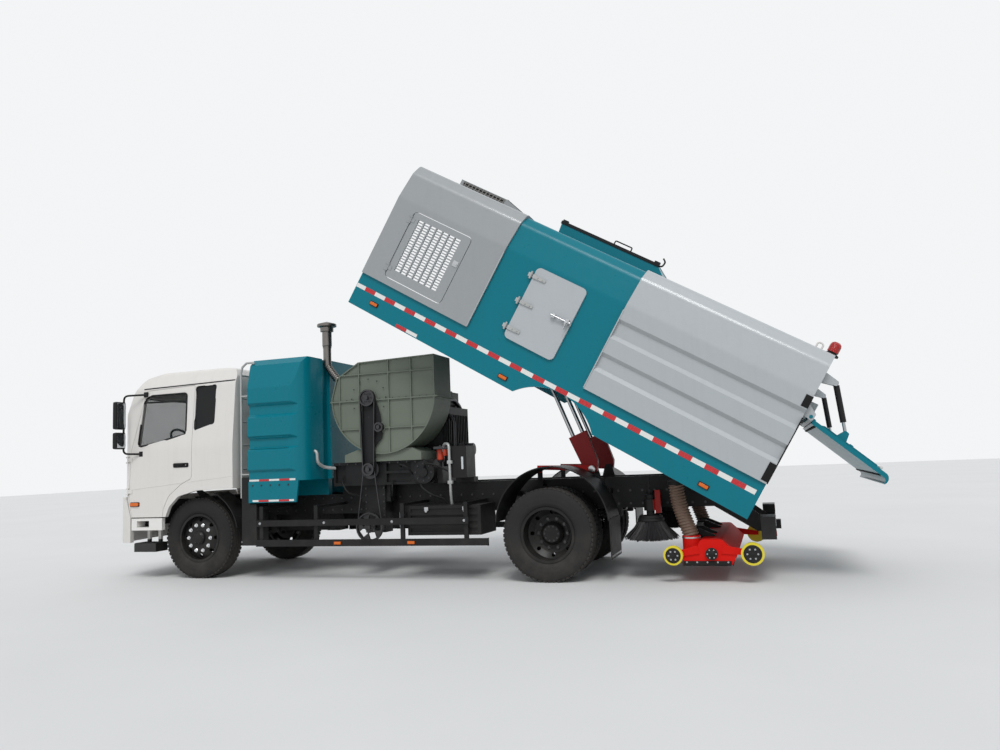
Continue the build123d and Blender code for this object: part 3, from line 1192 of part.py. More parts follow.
def hopper_rear():
    """Grey ribbed rear section: sides with two pressed channels, roof, upper rear wall and sill."""
    wall = 60.0
    skin = hopper_skin(MIDDLE_REAR + SEAT_GAP, HOPPER_REAR, PANEL_PROUD, wall)
    skin &= box((MIDDLE_REAR, HOPPER_REAR + 5), (-HOPPER_CLEAR, HOPPER_CLEAR), (HOPPER_BAND_Z + SEAT_GAP, 3000))
    deep = 34.0
    y = HOPPER_HALF_WIDTH + PANEL_PROUD
    for side in (-1, 1):
        for low, high in ((1570, 1790), (1960, 2190)):
            # columns: across, height
            cut = Polygon((side * (y + 5), low - 5), (side * (y - deep), low + 48),
                          (side * (y - deep), high - 42), (side * (y + 5), high + 5), align=None)
            skin -= front_plate(cut, MIDDLE_REAR - 1, HOPPER_REAR + 1)
    lining = offset(hopper_outline(PANEL_PROUD), amount=-wall + 1, kind=Kind.INTERSECTION)
    top = front_plate(lining, HOPPER_REAR - 50, HOPPER_REAR)
    skin += top & box((HOPPER_REAR - 60, HOPPER_REAR + 5), (-HOPPER_CLEAR, HOPPER_CLEAR), (2180, 2900))
    for side in (-1, 1):
        hx, hz = TAILGATE_HINGE
        skin += box((HOPPER_REAR - 1, hx + 20), (side * 560, side * 600), (hz + 40, 2330))
        ear = rounded([(HOPPER_REAR - 1, 2130), (hx + 30, 2110), (hx + 34, 2190), (HOPPER_REAR - 1, 2260)],
                      [0, 20, 20, 0])
        skin += side_plate(ear, side * (HOPPER_HALF_WIDTH - 70), side * (HOPPER_HALF_WIDTH - 50))
        skin -= cross_bar(hx, hz, TAILGATE_PIN + RUNNING_FIT, side * 1100, side * HOPPER_CLEAR)
        ear_x, ear_z = TAILGATE_CYLINDER_TOP
        for y in (TAILGATE_CYLINDER_Y - LUG_GAP - LUG_THICK, TAILGATE_CYLINDER_Y + LUG_GAP):
            skin += lug_plate(TAILGATE_CYLINDER_TOP, (-1, 0), ear_x - HOPPER_REAR + 1, 24, 56, side * y,
                              side * (y + LUG_THICK))
        skin += cross_bar(ear_x, ear_z, EYE_PIN, side * (TAILGATE_CYLINDER_Y - LUG_GAP - 1),
                          side * (TAILGATE_CYLINDER_Y + LUG_GAP + 1))
    return skin


def tailgate():
    """Rear door, drawn closed: leaf, side cheeks, hooked lip, hinge tube and cylinder lugs."""
    hx, hz = TAILGATE_HINGE
    x1 = hx - 6
    x0 = x1 - TAILGATE_WALL
    bottom = hz - TAILGATE_LENGTH
    half = HOPPER_HALF_WIDTH - 90
    leaf = box((x0, x1), (-half, half), (bottom, hz - 40))
    leaf += side_plate(arc_lip(x0, bottom), -half, half)
    leaf += cross_bar(hx, hz, 30, -half, half)
    leaf += cross_bar(hx, hz, TAILGATE_PIN, -half - 46, half + 46)
    leaf += box((hx - 30, hx + 4), (-half, half), (hz - 60, hz))
    lug_reach = TAILGATE_LUG[0] - x1 + 2
    for side in (-1, 1):
        for y in (TAILGATE_CYLINDER_Y - LUG_GAP - LUG_THICK, TAILGATE_CYLINDER_Y + LUG_GAP):
            leaf += lug_plate(TAILGATE_LUG, (-1, 0), lug_reach, 24, 60, side * y, side * (y + LUG_THICK))
    return leaf.rotate(Axis((at(hx), 0, hz), (0, 1, 0)), -TAILGATE_OPEN)


def arc_lip(x0, bottom):
    """The lip that curves under the hopper's sill: station, height."""
    edges = [
        Line((x0, bottom + 1), (x0 + TAILGATE_WALL, bottom + 1)),
        ThreePointArc((x0 + TAILGATE_WALL, bottom + 1), (x0 + 20, bottom - 40), (x0 - 50, bottom - 46)),
        Line((x0 - 50, bottom - 46), (x0 - 44, bottom - 34)),
        ThreePointArc((x0 - 44, bottom - 34), (x0 - 6, bottom - 20), (x0, bottom + 1)),
    ]
    return make_face(edges)


def along(start, end, distance):
    length = hypot(end[0] - start[0], end[1] - start[1])
    share = distance / length
    return (start[0] + (end[0] - start[0]) * share, start[1] + (end[1] - start[1]) * share)


def side_rod(start, end, y, radius):
    return rod((start[0], y, start[1]), (end[0], y, end[1]), radius)


def tailgate_cylinders():
    """Barrels on the hopper's rear ears, with rods down to the open tailgate's lugs."""
    top = TAILGATE_CYLINDER_TOP
    lug = rotate_about(TAILGATE_LUG, TAILGATE_HINGE, -TAILGATE_OPEN)
    barrels, rods = [], []
    for side in (-1, 1):
        y = side * TAILGATE_CYLINDER_Y
        barrel = side_rod(along(top, lug, 22), along(top, lug, CYLINDER_REACH), y, 30)
        barrel += cross_bar(top[0], top[1], 26, y - 24, y + 24)
        barrel -= cross_bar(top[0], top[1], EYE_PIN + RUNNING_FIT, y - 40, y + 40)
        barrel -= side_rod(along(top, lug, 60), along(top, lug, CYLINDER_REACH + 1), y, 17 + RUNNING_FIT)
        barrels.append(barrel)
        stem = side_rod(along(top, lug, 80), along(lug, top, 20), y, 17)
        stem += cross_bar(lug[0], lug[1], 24, y - 24, y + 24)
        stem += cross_bar(lug[0], lug[1], EYE_PIN, y - LUG_GAP + SEAT_GAP, y + LUG_GAP - SEAT_GAP)
        rods.append(stem)
    return barrels, rods


def hoist_frame():
    eye = raised_point(HOIST_EYE)
    length = hypot(eye[0] - HOIST_BASE[0], eye[1] - HOIST_BASE[1])
    ux = (eye[0] - HOIST_BASE[0]) / length
    uz = (eye[1] - HOIST_BASE[1]) / length
    return length, ux, uz


def hoist_point(along_axis, across_axis):
    """A point on the hoist's own lines, drawn raised: distance from its base, offset to one side."""
    _, ux, uz = hoist_frame()
    x, z = HOIST_BASE
    return (x + ux * along_axis + uz * across_axis, z + uz * along_axis - ux * across_axis)


def hoists():
    """Tapered red sleeves on their base pins, each with two rods up to the hopper's eye."""
    length, _, _ = hoist_frame()
    sleeves, rods = [], []
    for side in (-1, 1):
        y0, y1 = side * (HOIST_Y - 40), side * (HOIST_Y + 40)
        # columns: along, across
        table = [(-45, -40), (-45, 40), (60, 96), (HOIST_SLEEVE, 112), (HOIST_SLEEVE, -112), (60, -96)]
        outline = [hoist_point(a, b) for a, b in table]
        sleeve = side_plate(Polygon(*outline, align=None), y0, y1)
        sleeve -= cross_bar(HOIST_BASE[0], HOIST_BASE[1], HOIST_PIN + RUNNING_FIT, side * 400, side * 600)
        y = side * HOIST_Y
        stem = None
        for sign in (-1, 1):
            out = sign * HOIST_ROD_OFFSET
            bore = HOIST_ROD_RADIUS + RUNNING_FIT
            sleeve -= side_rod(hoist_point(0, out), hoist_point(HOIST_SLEEVE + 1, out), y, bore)
            tail, head = hoist_point(HOIST_ROD_TAIL, out), hoist_point(length - 60, out)
            bar = side_rod(tail, head, y, HOIST_ROD_RADIUS)
            stem = bar if stem is None else stem + bar
        table = [(length - 90, -90), (length - 90, 90), (length + 10, 34), (length + 34, 0),
                 (length + 10, -34)]
        yoke = [hoist_point(a, b) for a, b in table]
        stem += side_plate(Polygon(*yoke, align=None), side * (HOIST_Y - 32), side * (HOIST_Y + 32))
        pin_reach = HOIST_EAR_GAP - SEAT_GAP
        x, z = raised_point(HOIST_EYE)
        stem += cross_bar(x, z, 16, side * (HOIST_Y - pin_reach), side * (HOIST_Y + pin_reach))
        sleeves.append(sleeve)
        rods.append(stem)
    return sleeves, rods


# Sweeping gear

def brush_arm(side):
    """Telescoping bar through the frame's side: brush motor, red hanger plate, post and its chain."""
    x, y, z = BRUSH
    thick = (x - ARM_HALF_THICK, x + ARM_HALF_THICK)
    arm = box(thick, (side * ARM_INNER_Y, side * (y + 30)), ARM_Z)
    arm += post(x, side * y, z + 50, z + 170, 70)
    arm += post(x, side * y, z - 15, z + 55, BRUSH_SHAFT)
    arm += box((x + 60, x + 118), (side * (y - 35), side * (y + 35)), (z + 20, z + 270))
    top = z + 400
    arm += box((x - 6, x + 6), (side * (y - 45), side * (y - 25)), (z + 160, top))
    arm += box((x - 6, x + 6), (side * (y - 45), side * (y + 26)), (top - 14, top))
    for index in range(8):
        low = z + 162 + index * 28
        wide, thin = (13, 5) if index % 2 else (5, 13)
        arm += box((x - wide, x + wide), (side * (y + 14 - thin), side * (y + 14 + thin)), (low, low + 34))
    return arm


def brush_guide(side):
    """Square tube on the frame's side in which a brush arm slides."""
    x = BRUSH[0]
    ys = (side * (RAIL_OUTER_Y + SEAT_GAP), side * (RAIL_OUTER_Y + GUIDE_REACH))
    half, wall = ARM_HALF_THICK + SEAT_GAP, 12
    low, high = ARM_Z[0] - SEAT_GAP, ARM_Z[1] + SEAT_GAP
    tube = box((x - half - wall, x + half + wall), ys, (low - wall, high + wall))
    through = (side * RAIL_OUTER_Y, side * (RAIL_OUTER_Y + GUIDE_REACH + 1))
    return tube - box((x - half, x + half), through, (low, high))


def brush(side):
    """Hub plate with its flared ring of bristles."""
    x, y, z = BRUSH
    hub = post(x, side * y, z - 34, z - 6, 130)
    hub += post(x, side * y, z - 90, z - 30, 105)
    hub -= post(x, side * y, z - 15 - SEAT_GAP, z + 15, BRUSH_SHAFT + RUNNING_FIT)
    low = BRUSH_BOTTOM_Z
    # columns: radius, height
    flare = [(0, z - 60), (100, z - 60), (190, z - 115), (262, z - 190), (BRUSH_RADIUS, z - 268),
             (BRUSH_RADIUS - 3, low), (235, low), (150, low + 60), (0, low + 80)]
    return hub + spun(flare, x, side * y)


def nozzle():
    """Suction nozzle: a humped beam across the vehicle, open below, with hose stubs and caster arms."""
    front, rear, wall = NOZZLE_FRONT, NOZZLE_REAR, 14.0
    # columns: station, height
    outer = rounded([
        (front, 185), (front, 300), (front + 130, 322), (front + 190, 445), (front + 405, 445), (rear, 290),
        (rear - 60, 185)], [0, 30, 60, 50, 60, 20, 0])
    shape = side_plate(outer, -NOZZLE_HALF_WIDTH, NOZZLE_HALF_WIDTH)
    inner = rounded([
        (front + wall, 180), (front + wall, 288), (front + 138, 308), (front + 198, 431),
        (front + 400, 431), (rear - 20, 284), (rear - 74, 180)])
    shape -= side_plate(inner, -NOZZLE_HALF_WIDTH + wall, NOZZLE_HALF_WIDTH - wall)
    plug = [side * HOSE_Y for side in (-1, 1)]
    for side, y in zip((-1, 1), plug):
        stub = post(HOSE_FOOT_STATION, y, 300, NOZZLE_STUB_Z, 95)
        stub -= post(HOSE_FOOT_STATION, y, NOZZLE_STUB_Z - 40, NOZZLE_STUB_Z + 5, 80)
        plate = (side * NOZZLE_HALF_WIDTH, side * (NOZZLE_HALF_WIDTH + NOZZLE_PLATE))
        shape += stub + cross_bar(front + 300, 300, 62, plate[0], side * (NOZZLE_HALF_WIDTH + 26))
        for (x, r), root in zip(CASTERS, (front + 150, front + 420)):
            z = r + CASTER_LIFT
            reach = 24 if root > x else -24
            arm = Polygon((x - reach, z - 22), (x - reach, z + 24), (root, 385), (root + reach, 300),
                          (x + reach, z - 24), align=None)
            shape += side_plate(arm, *plate)
            shape += cross_bar(x, z, 14, plate[0], side * (CASTER_Y + 30))
    return shape


def caster(station, radius, side):
    z = radius + CASTER_LIFT
    wheel = cross_bar(station, z, radius, side * (CASTER_Y - 32), side * (CASTER_Y + 28))
    wheel -= cross_bar(station, z, 14 + RUNNING_FIT, side * 900, side * 1200)
    return wheel


def build_parts():
    """Every node of the vehicle with its solids."""
    walls = cab_walls()
    layer = glass_layer()
    barrels, stems = tailgate_cylinders()
    sleeves, rods = hoists()
    parts = {
        "frame_rails": frame_rails(),
        "subframe": subframe(),
        "front_axle": front_axle(),
        "rear_axle": rear_axle(),
        "engine_block": engine_block(),
        "front_bumper": front_bumper(),
        "headlamps": headlamps(),
        "step_panels": step_panels(),
        "water_tank": water_tank(),
        "ladder": ladder(),
        "intake_duct": intake_duct(),
        "precleaner_stack": precleaner_stack(),
        "fan_housing": fan_housing(),
        "belt_drive": belt_drive(),
        "aux_engine": aux_engine(),
        "side_tanks": side_tanks(),
        "side_guards": side_guards(),
        "mudguards": mudguards(),
        "rear_bumper": rear_bumper(),
        "suction_hoses": suction_hoses(),
        "cab_shell": cab_shell(walls),
        "cab_glass": layer & windscreen_prism(SEAT_GAP),
        "cab_trim": cab_trim(layer),
        "cab_interior": cab_interior(),
        "hopper_body": raised(hopper_body()),
        "hopper_hood": raised(hopper_hood()),
        "hopper_rear": raised(hopper_rear()),
        "hatch": raised(hatch()),
        "tailgate": raised(tailgate()),
        "tailgate_cylinders": raised(barrels),
        "tailgate_rods": raised(stems),
        "hoist_sleeves": sleeves,
        "hoist_rods": rods,
        "nozzle": nozzle(),
    }
    for name, side in (("left", -1), ("right", 1)):
        parts["knuckle_" + name] = knuckle(side)
        parts["front_tyre_" + name] = make_tyre(0, FRONT_WHEEL_Y, side)
        parts["front_rim_" + name] = front_rim(side)
        parts["rear_tyres_" + name] = [make_tyre(WHEELBASE, y, side) for y in (REAR_OUTER_Y, REAR_INNER_Y)]
        parts["rear_rims_" + name] = rear_rims(side)
        parts["door_" + name] = cab_door(walls, side)
        parts["door_glass_" + name] = layer & side_prism(DOOR_GLASS, DOOR_GLASS_RADII, side, SEAT_GAP)
        parts["mirror_" + name] = mirror_pair(side)
        parts["louvre_door_" + name] = raised(louvre_door(side))
        parts["brush_arm_" + name] = brush_arm(side)
        parts["brush_" + name] = brush(side)
        for place, (station, radius) in zip(("front", "rear"), CASTERS):
            parts["caster_" + place + "_" + name] = caster(station, radius, side)
    return parts


def main():
    os.makedirs("parts", exist_ok=True)
    for name, shape in build_parts().items():
        solids = shape if isinstance(shape, list) else [shape]
        solids = [solid for item in solids for solid in item.solids()]
        export_step(Compound(children=solids) if len(solids) > 1 else solids[0], "parts/" + name + ".step")


main()
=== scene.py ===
"""Street sweeper truck with its hopper raised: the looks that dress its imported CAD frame.

Every size is in metres. X runs rearwards, Y to the vehicle's right and Z up, as in the frame.
Stations are measured rearwards from the front axle, and the hopper's pieces are drawn as if it
were lowered, then turned with it about its rear pivot.
"""

from __future__ import annotations

import json
import logging
from dataclasses import dataclass, field
from enum import Enum
from math import cos, pi, radians, sin, sqrt, tau
from typing import Any, Iterable, Sequence

import bmesh
import bpy
from mathutils import Euler, Matrix, Vector
from mathutils.bvhtree import BVHTree

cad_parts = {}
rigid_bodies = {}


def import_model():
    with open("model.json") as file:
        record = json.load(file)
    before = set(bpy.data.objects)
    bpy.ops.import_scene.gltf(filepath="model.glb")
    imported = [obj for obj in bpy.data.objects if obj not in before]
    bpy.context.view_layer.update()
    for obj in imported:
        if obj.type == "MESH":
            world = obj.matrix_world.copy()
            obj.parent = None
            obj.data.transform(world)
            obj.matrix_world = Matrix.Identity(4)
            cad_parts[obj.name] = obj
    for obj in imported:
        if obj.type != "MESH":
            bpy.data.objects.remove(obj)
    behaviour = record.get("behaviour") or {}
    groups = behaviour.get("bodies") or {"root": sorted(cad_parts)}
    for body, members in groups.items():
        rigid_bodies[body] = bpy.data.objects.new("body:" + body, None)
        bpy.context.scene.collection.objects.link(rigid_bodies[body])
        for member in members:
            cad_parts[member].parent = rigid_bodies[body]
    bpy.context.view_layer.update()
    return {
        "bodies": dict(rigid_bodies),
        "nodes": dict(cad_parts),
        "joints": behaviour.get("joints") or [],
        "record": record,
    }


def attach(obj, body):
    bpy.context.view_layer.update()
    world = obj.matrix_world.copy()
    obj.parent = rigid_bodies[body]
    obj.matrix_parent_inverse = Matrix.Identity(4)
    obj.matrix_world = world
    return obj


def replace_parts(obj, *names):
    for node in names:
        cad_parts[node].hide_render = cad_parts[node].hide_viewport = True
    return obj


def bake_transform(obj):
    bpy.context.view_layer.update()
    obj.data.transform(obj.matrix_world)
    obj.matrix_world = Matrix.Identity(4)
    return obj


LOG = logging.getLogger("sweeper")

Point = tuple[float, float, float]
Pair = tuple[float, float]
Colour = tuple[float, float, float]

FRONT_AXLE_X = -3.41
WHEELBASE = 4.7
PIVOT = (6.4 + FRONT_AXLE_X, 1.065)
HOPPER_TILT = radians(31)
LEFT, RIGHT = -1, 1
SIDE_NAMES = {LEFT: "left", RIGHT: "right"}
OUTWARD = {LEFT: "-Y", RIGHT: "Y"}
TYRE_RADIUS = 0.515
STILL = (0.0, 0.0, 0.0)


def srgb(red: float, green: float, blue: float) -> Colour:
    """Turns a colour written from 0 to 255, as a paint chart gives it, into linear light."""
    def channel(value: float) -> float:
        share = value / 255
        return share / 12.92 if share <= 0.04045 else ((share + 0.055) / 1.055) ** 2.4
    return channel(red), channel(green), channel(blue)


def at(station: float) -> float:
    """The frame's X of a station measured from the front axle."""
    return station + FRONT_AXLE_X


def xs(front: float, rear: float) -> Pair:
    """The frame's X of two stations."""
    return at(front), at(rear)


# Shader maths


class Wire:
    """A socket, or a number, that shader arithmetic is written with."""

    def __init__(self, graph: "Graph", value: Any) -> None:
        self.graph = graph
        self.value = value

    def _math(self, operation: str, *others: Any, clamp: bool = False) -> "Wire":
        """Adds one Math node.

        Args:
            operation: The node's operation.
            others: The second and third operands.
            clamp: Whether the result is held between 0 and 1.

        Returns:
            The node's output.
        """
        inputs = {index: getattr(item, "value", item) for index, item in enumerate((self, *others))}
        return self.graph.node("ShaderNodeMath", {"operation": operation, "use_clamp": clamp}, inputs)

    def __add__(self, other: Any) -> "Wire":
        """Sum."""
        return self._math("ADD", other)

    def __sub__(self, other: Any) -> "Wire":
        """Difference."""
        return self._math("SUBTRACT", other)

    def __mul__(self, other: Any) -> "Wire":
        """Product."""
        return self._math("MULTIPLY", other)

    def __truediv__(self, other: Any) -> "Wire":
        """Quotient."""
        return self._math("DIVIDE", other)

    def __pow__(self, other: Any) -> "Wire":
        """Power."""
        return self._math("POWER", other)

    def __rsub__(self, other: Any) -> "Wire":
        """Reflected difference."""
        return Wire(self.graph, other)._math("SUBTRACT", self)

    __radd__ = __add__
    __rmul__ = __mul__

    def above(self, limit: Any) -> "Wire":
        """1 where this is greater than the limit, else 0."""
        return self._math("GREATER_THAN", limit)

    def below(self, limit: Any) -> "Wire":
        """1 where this is less than the limit, else 0."""
        return self._math("LESS_THAN", limit)

    def between(self, low: float, high: float) -> "Wire":
        """1 from low to high, else 0."""
        return self.above(low) * self.below(high)

    def apply(self, operation: str, *others: Any) -> "Wire":
        """One more Math operation by its name, such as ABSOLUTE or FRACT."""
        return self._math(operation, *others)

    def held(self) -> "Wire":
        """The value held between 0 and 1."""
        return self._math("ADD", 0.0, clamp=True)

    def ramp(self, low: float, high: float) -> "Wire":
        """A smooth step from 0 at low to 1 at high; low may be the greater."""
        inputs = {0: self.value, 1: low, 2: high}
        return self.graph.node("ShaderNodeMapRange", {"interpolation_type": "SMOOTHSTEP"}, inputs)


class Graph:
    """A material's nodes, made through one method."""

    def __init__(self, tree: bpy.types.NodeTree) -> None:
        self.tree = tree

    def node(self, kind: str, settings: dict[str, Any], inputs: dict[Any, Any], output: Any = 0) -> Wire:
        """Adds a node.

        Args:
            kind: The node's type.
            settings: Its own settings, set before its sockets.
            inputs: Values or links by socket name or number.
            output: The name or number of the socket that is returned.

        Returns:
            The chosen output.
        """
        made = self.tree.nodes.new(kind)
        for name, value in settings.items():
            setattr(made, name, value)
        for name, value in inputs.items():
            self.feed(made.inputs[name], value)
        return Wire(self, made.outputs[output])

    def feed(self, socket: bpy.types.NodeSocket, value: Any) -> None:
        """Links a wire to a socket, or sets the socket to a plain value."""
        value = getattr(value, "value", value)
        if isinstance(value, bpy.types.NodeSocket):
            self.tree.links.new(value, socket)
        elif isinstance(value, tuple) and len(value) == 3 and socket.type == "RGBA":
            socket.default_value = (*value, 1.0)
        else:
            socket.default_value = value

    def place(self) -> Wire:
        """Object coordinates, which are the frame's metres on every piece."""
        return self.node("ShaderNodeTexCoord", {}, {}, "Object")

    def axes(self, vector: Wire | None = None) -> tuple[Wire, Wire, Wire]:
        """The X, Y and Z of a vector, or of the place."""
        source = self.node("ShaderNodeSeparateXYZ", {}, {0: vector or self.place()})
        outputs = source.value.node.outputs
        return Wire(self, outputs[0]), Wire(self, outputs[1]), Wire(self, outputs[2])

    def noise(self, scale: float, detail: float = 3.0, rough: float = 0.55, vector: Wire | None = None) -> Wire:
        """Cloudy noise from 0 to 1, of so many features a metre."""
        inputs = {"Vector": vector or self.place(), "Scale": scale, "Detail": detail, "Roughness": rough}
        return self.node("ShaderNodeTexNoise", {}, inputs, "Fac")

    def turned(self, location: Point = (0, 0, 0), rotation: Point = (0, 0, 0), scale: Point = (1, 1, 1)) -> Wire:
        """The place after a Mapping node."""
        inputs = {"Vector": self.place(), "Location": location, "Rotation": rotation, "Scale": scale}
        return self.node("ShaderNodeMapping", {}, inputs)

    def scaled(self, vector: Wire, by: Any) -> Wire:
        """A vector made longer or shorter."""
        return self.node("ShaderNodeVectorMath", {"operation": "SCALE"}, {0: vector, "Scale": by})

    def mix(self, share: Any, first: Any, second: Any) -> Wire:
        """A colour between two, by a share from 0 to 1."""
        inputs = {0: share, 6: first, 7: second}
        return self.node("ShaderNodeMix", {"data_type": "RGBA"}, inputs, 2)

    def bump(self, height: Wire, distance: float, strength: float = 1.0, below: Wire | None = None) -> Wire:
        """A bumped normal, over another one where it is given."""
        inputs: dict[Any, Any] = {"Strength": strength, "Distance": distance, "Height": height}
        if below is not None:
            inputs["Normal"] = below
        return self.node("ShaderNodeBump", {}, inputs)


# Finishes


SATIN = 0.22
BLACK = srgb(22, 22, 24)


@dataclass(frozen=True)
class Finish:
    """A surface: painted, moulded, rolled or cast, with the dust and wear that it has."""

    name: str
    colour: Colour
    roughness: float = 0.45
    metallic: float = 0.0
    coat: float = 0.0
    grain: float = 60.0
    grain_depth: float = 0.0004
    mottling: float = 0.12
    dust: float = 0.25
    dust_top: float = 1.1
    specular: float = 0.5

    DUST_COLOUR = srgb(128, 122, 112)

    def material(self) -> bpy.types.Material:
        """The finish's material, made once."""
        found = bpy.data.materials.get(self.name)
        if found is not None:
            return found
        made = bpy.data.materials.new(self.name)
        made.use_nodes = True
        made.diffuse_color = (*self.colour, 1.0)
        graph = Graph(made.node_tree)
        shader = made.node_tree.nodes["Principled BSDF"]
        shader.inputs["Specular IOR Level"].default_value = self.specular
        self.dress(graph, shader)
        return made

    def link(self, graph: Graph, shader: bpy.types.Node, **sockets: Any) -> None:
        """Sets or links the shader's sockets, whose names are written with underscores."""
        for name, value in sockets.items():
            graph.feed(shader.inputs[name.replace("_", " ").title().replace("Ior", "IOR")], value)

    def base(self, graph: Graph) -> Wire:
        """The clean colour over the surface."""
        darker = tuple(channel * 0.78 for channel in self.colour)
        lighter = tuple(min(1.0, channel * 1.12 + 0.004) for channel in self.colour)
        return graph.mix((graph.noise(2.3, 4.0) * self.mottling * 4 + 0.5 - self.mottling * 2).held(), darker, lighter)

    def dust_mask(self, graph: Graph) -> Wire:
        """How much road dust lies on each place, more of it low down."""
        _, _, height = graph.axes()
        low = height.ramp(self.dust_top, 0.25)
        patches = graph.noise(5.0, 6.0, 0.65).ramp(0.35, 0.75)
        return ((low * 0.75 + 0.12) * (patches * 0.8 + 0.25) * self.dust).held()

    def height(self, graph: Graph) -> Wire:
        """The surface's fine grain, from 0 to 1."""
        return graph.noise(self.grain, 4.0, 0.6)

    def dress(self, graph: Graph, shader: bpy.types.Node) -> None:
        """Fills the material's nodes."""
        dust = self.dust_mask(graph)
        colour = graph.mix(dust, self.base(graph), self.DUST_COLOUR)
        rough = (graph.noise(11.0, 4.0) * 0.16 + (self.roughness - 0.08) + dust * 0.3).held()
        self.link(graph, shader, base_color=colour, roughness=rough,
                  metallic=self.metallic * (1 - dust) if self.metallic else 0.0,
                  coat_weight=self.coat * (1 - dust) if self.coat else 0.0,
                  normal=graph.bump(self.height(graph), self.grain_depth))
        self.link(graph, shader, coat_roughness=0.08)


@dataclass(frozen=True)
class Satin(Finish):
    """Black paint or plastic without a gloss of its own."""

    specular: float = SATIN


@dataclass(frozen=True)
class CoachPaint(Finish):
    """Sprayed gloss paint over sheet metal, with rain streaks and a slight waviness."""

    coat: float = 0.5
    roughness: float = 0.32
    grain: float = 3.2
    grain_depth: float = 0.0035
    mottling: float = 0.05

    def base(self, graph: Graph) -> Wire:
        """Paint that is a little duller in long streaks down the panel."""
        streaks = graph.noise(3.0, 5.0, 0.6, graph.turned(scale=(5.0, 5.0, 0.35))).ramp(0.45, 0.8)
        dull = tuple(channel * 0.82 + 0.012 for channel in self.colour)
        return graph.mix(streaks * 0.25, self.colour, dull)


@dataclass(frozen=True)
class Rubber(Finish):
    """Tyre and hose rubber, greyer where the road rubs it."""

    axle_x: float | None = None
    roughness: float = 0.82
    grain: float = 130.0
    grain_depth: float = 0.0006

    def dress(self, graph: Graph, shader: bpy.types.Node) -> None:
        """Fills the material's nodes, with sidewall rings where the rubber is a tyre's."""
        dust = self.dust_mask(graph)
        colour = graph.mix(dust, self.base(graph), self.DUST_COLOUR)
        height = self.height(graph)
        if self.axle_x is not None:
            x, _, z = graph.axes()
            radius = ((x - self.axle_x) ** 2 + (z - TYRE_RADIUS) ** 2) ** 0.5
            rings = (radius * 130.0).apply("SINE") * radius.between(0.315, 0.46) * 0.6
            worn = radius.ramp(TYRE_RADIUS - 0.02, TYRE_RADIUS + 0.004)
            colour = graph.mix(worn * (graph.noise(7.0) * 0.4 + 0.1), colour, srgb(84, 80, 76))
            height = height * 0.4 + rings
        self.link(graph, shader, base_color=colour, roughness=(dust * 0.15 + self.roughness).held(),
                  normal=graph.bump(height, self.grain_depth))


@dataclass(frozen=True)
class BareSteel(Finish):
    """Rolled, plated or polished metal."""

    metallic: float = 1.0
    roughness: float = 0.3
    grain: float = 240.0
    grain_depth: float = 0.0002
    dust: float = 0.15


@dataclass(frozen=True)
class Glass(Finish):
    """Window glass, lightly tinted, with patches of dust haze."""

    alpha: float = 0.35
    roughness: float = 0.05

    def dress(self, graph: Graph, shader: bpy.types.Node) -> None:
        """Fills the material's nodes."""
        haze = graph.noise(2.0, 5.0, 0.6).ramp(0.45, 0.85)
        self.link(graph, shader, base_color=graph.mix(haze * 0.3, self.colour, self.DUST_COLOUR),
                  roughness=(haze * 0.12 + self.roughness).held(), alpha=(haze * 0.12 + self.alpha).held(),
                  metallic=0.0, normal=graph.bump(graph.noise(1.4), 0.0006))


@dataclass(frozen=True)
class Lens(Finish):
    """A moulded lamp lens with its fine ribs."""

    roughness: float = 0.12
    glow: float = 0.0
    pitch: float = 260.0

    def dress(self, graph: Graph, shader: bpy.types.Node) -> None:
        """Fills the material's nodes."""
        x, y, z = graph.axes()
        ribs = ((x + y) * self.pitch * 2).apply("SINE") * (z * self.pitch).apply("SINE")
        colour = graph.mix((ribs * 0.25 + 0.25).held(), self.colour, tuple(c * 0.45 for c in self.colour))
        self.link(graph, shader, base_color=colour, roughness=(graph.noise(20.0) * 0.1 + self.roughness),
                  normal=graph.bump(ribs, 0.0012))
        if self.glow:
            self.link(graph, shader, emission_color=colour, emission_strength=self.glow)


@dataclass(frozen=True)
class Tape(Finish):
    """Reflective tape of red and white lengths with a fine honeycomb in it."""

    red: Colour = srgb(190, 28, 36)
    white: Colour = srgb(226, 226, 222)
    specular: float = 0.25
    start: float = 0.0
    pitch: float = 0.3
    white_share: float = 0.5
    tilt: float = 0.0
    roughness: float = 0.28

    def base(self, graph: Graph) -> Wire:
        """Lengths of the two colours, counted along the panel that carries the tape."""
        x, _, z = graph.axes()
        run = (x - PIVOT[0]) * cos(self.tilt) - (z - PIVOT[1]) * sin(self.tilt) + PIVOT[0]
        step = ((run - self.start) / self.pitch + 40.0).apply("FRACT")
        cells = graph.node("ShaderNodeTexVoronoi", {"feature": "DISTANCE_TO_EDGE"},
                           {"Vector": graph.place(), "Scale": 150.0}, "Distance").ramp(0.0, 0.09)
        plain = graph.mix(step.below(self.white_share), self.red, self.white)
        return graph.mix((1 - cells) * 0.22, plain, (0.5, 0.5, 0.5))


@dataclass(frozen=True)
class Zoned(Finish):
    """One paint with another on the part of a node that lies between two distances on an axis."""

    other: Colour = (0.0, 0.0, 0.0)
    axis: int = 2
    low: float = -9.0
    high: float = 9.0
    foot: float = -9.0
    folded: bool = False

    def base(self, graph: Graph) -> Wire:
        """The two colours, parted by the zone's limits."""
        axes = graph.axes()
        place = axes[self.axis].apply("ABSOLUTE") if self.folded else axes[self.axis]
        return graph.mix(place.between(self.low, self.high) * axes[2].above(self.foot), self.colour, self.other)


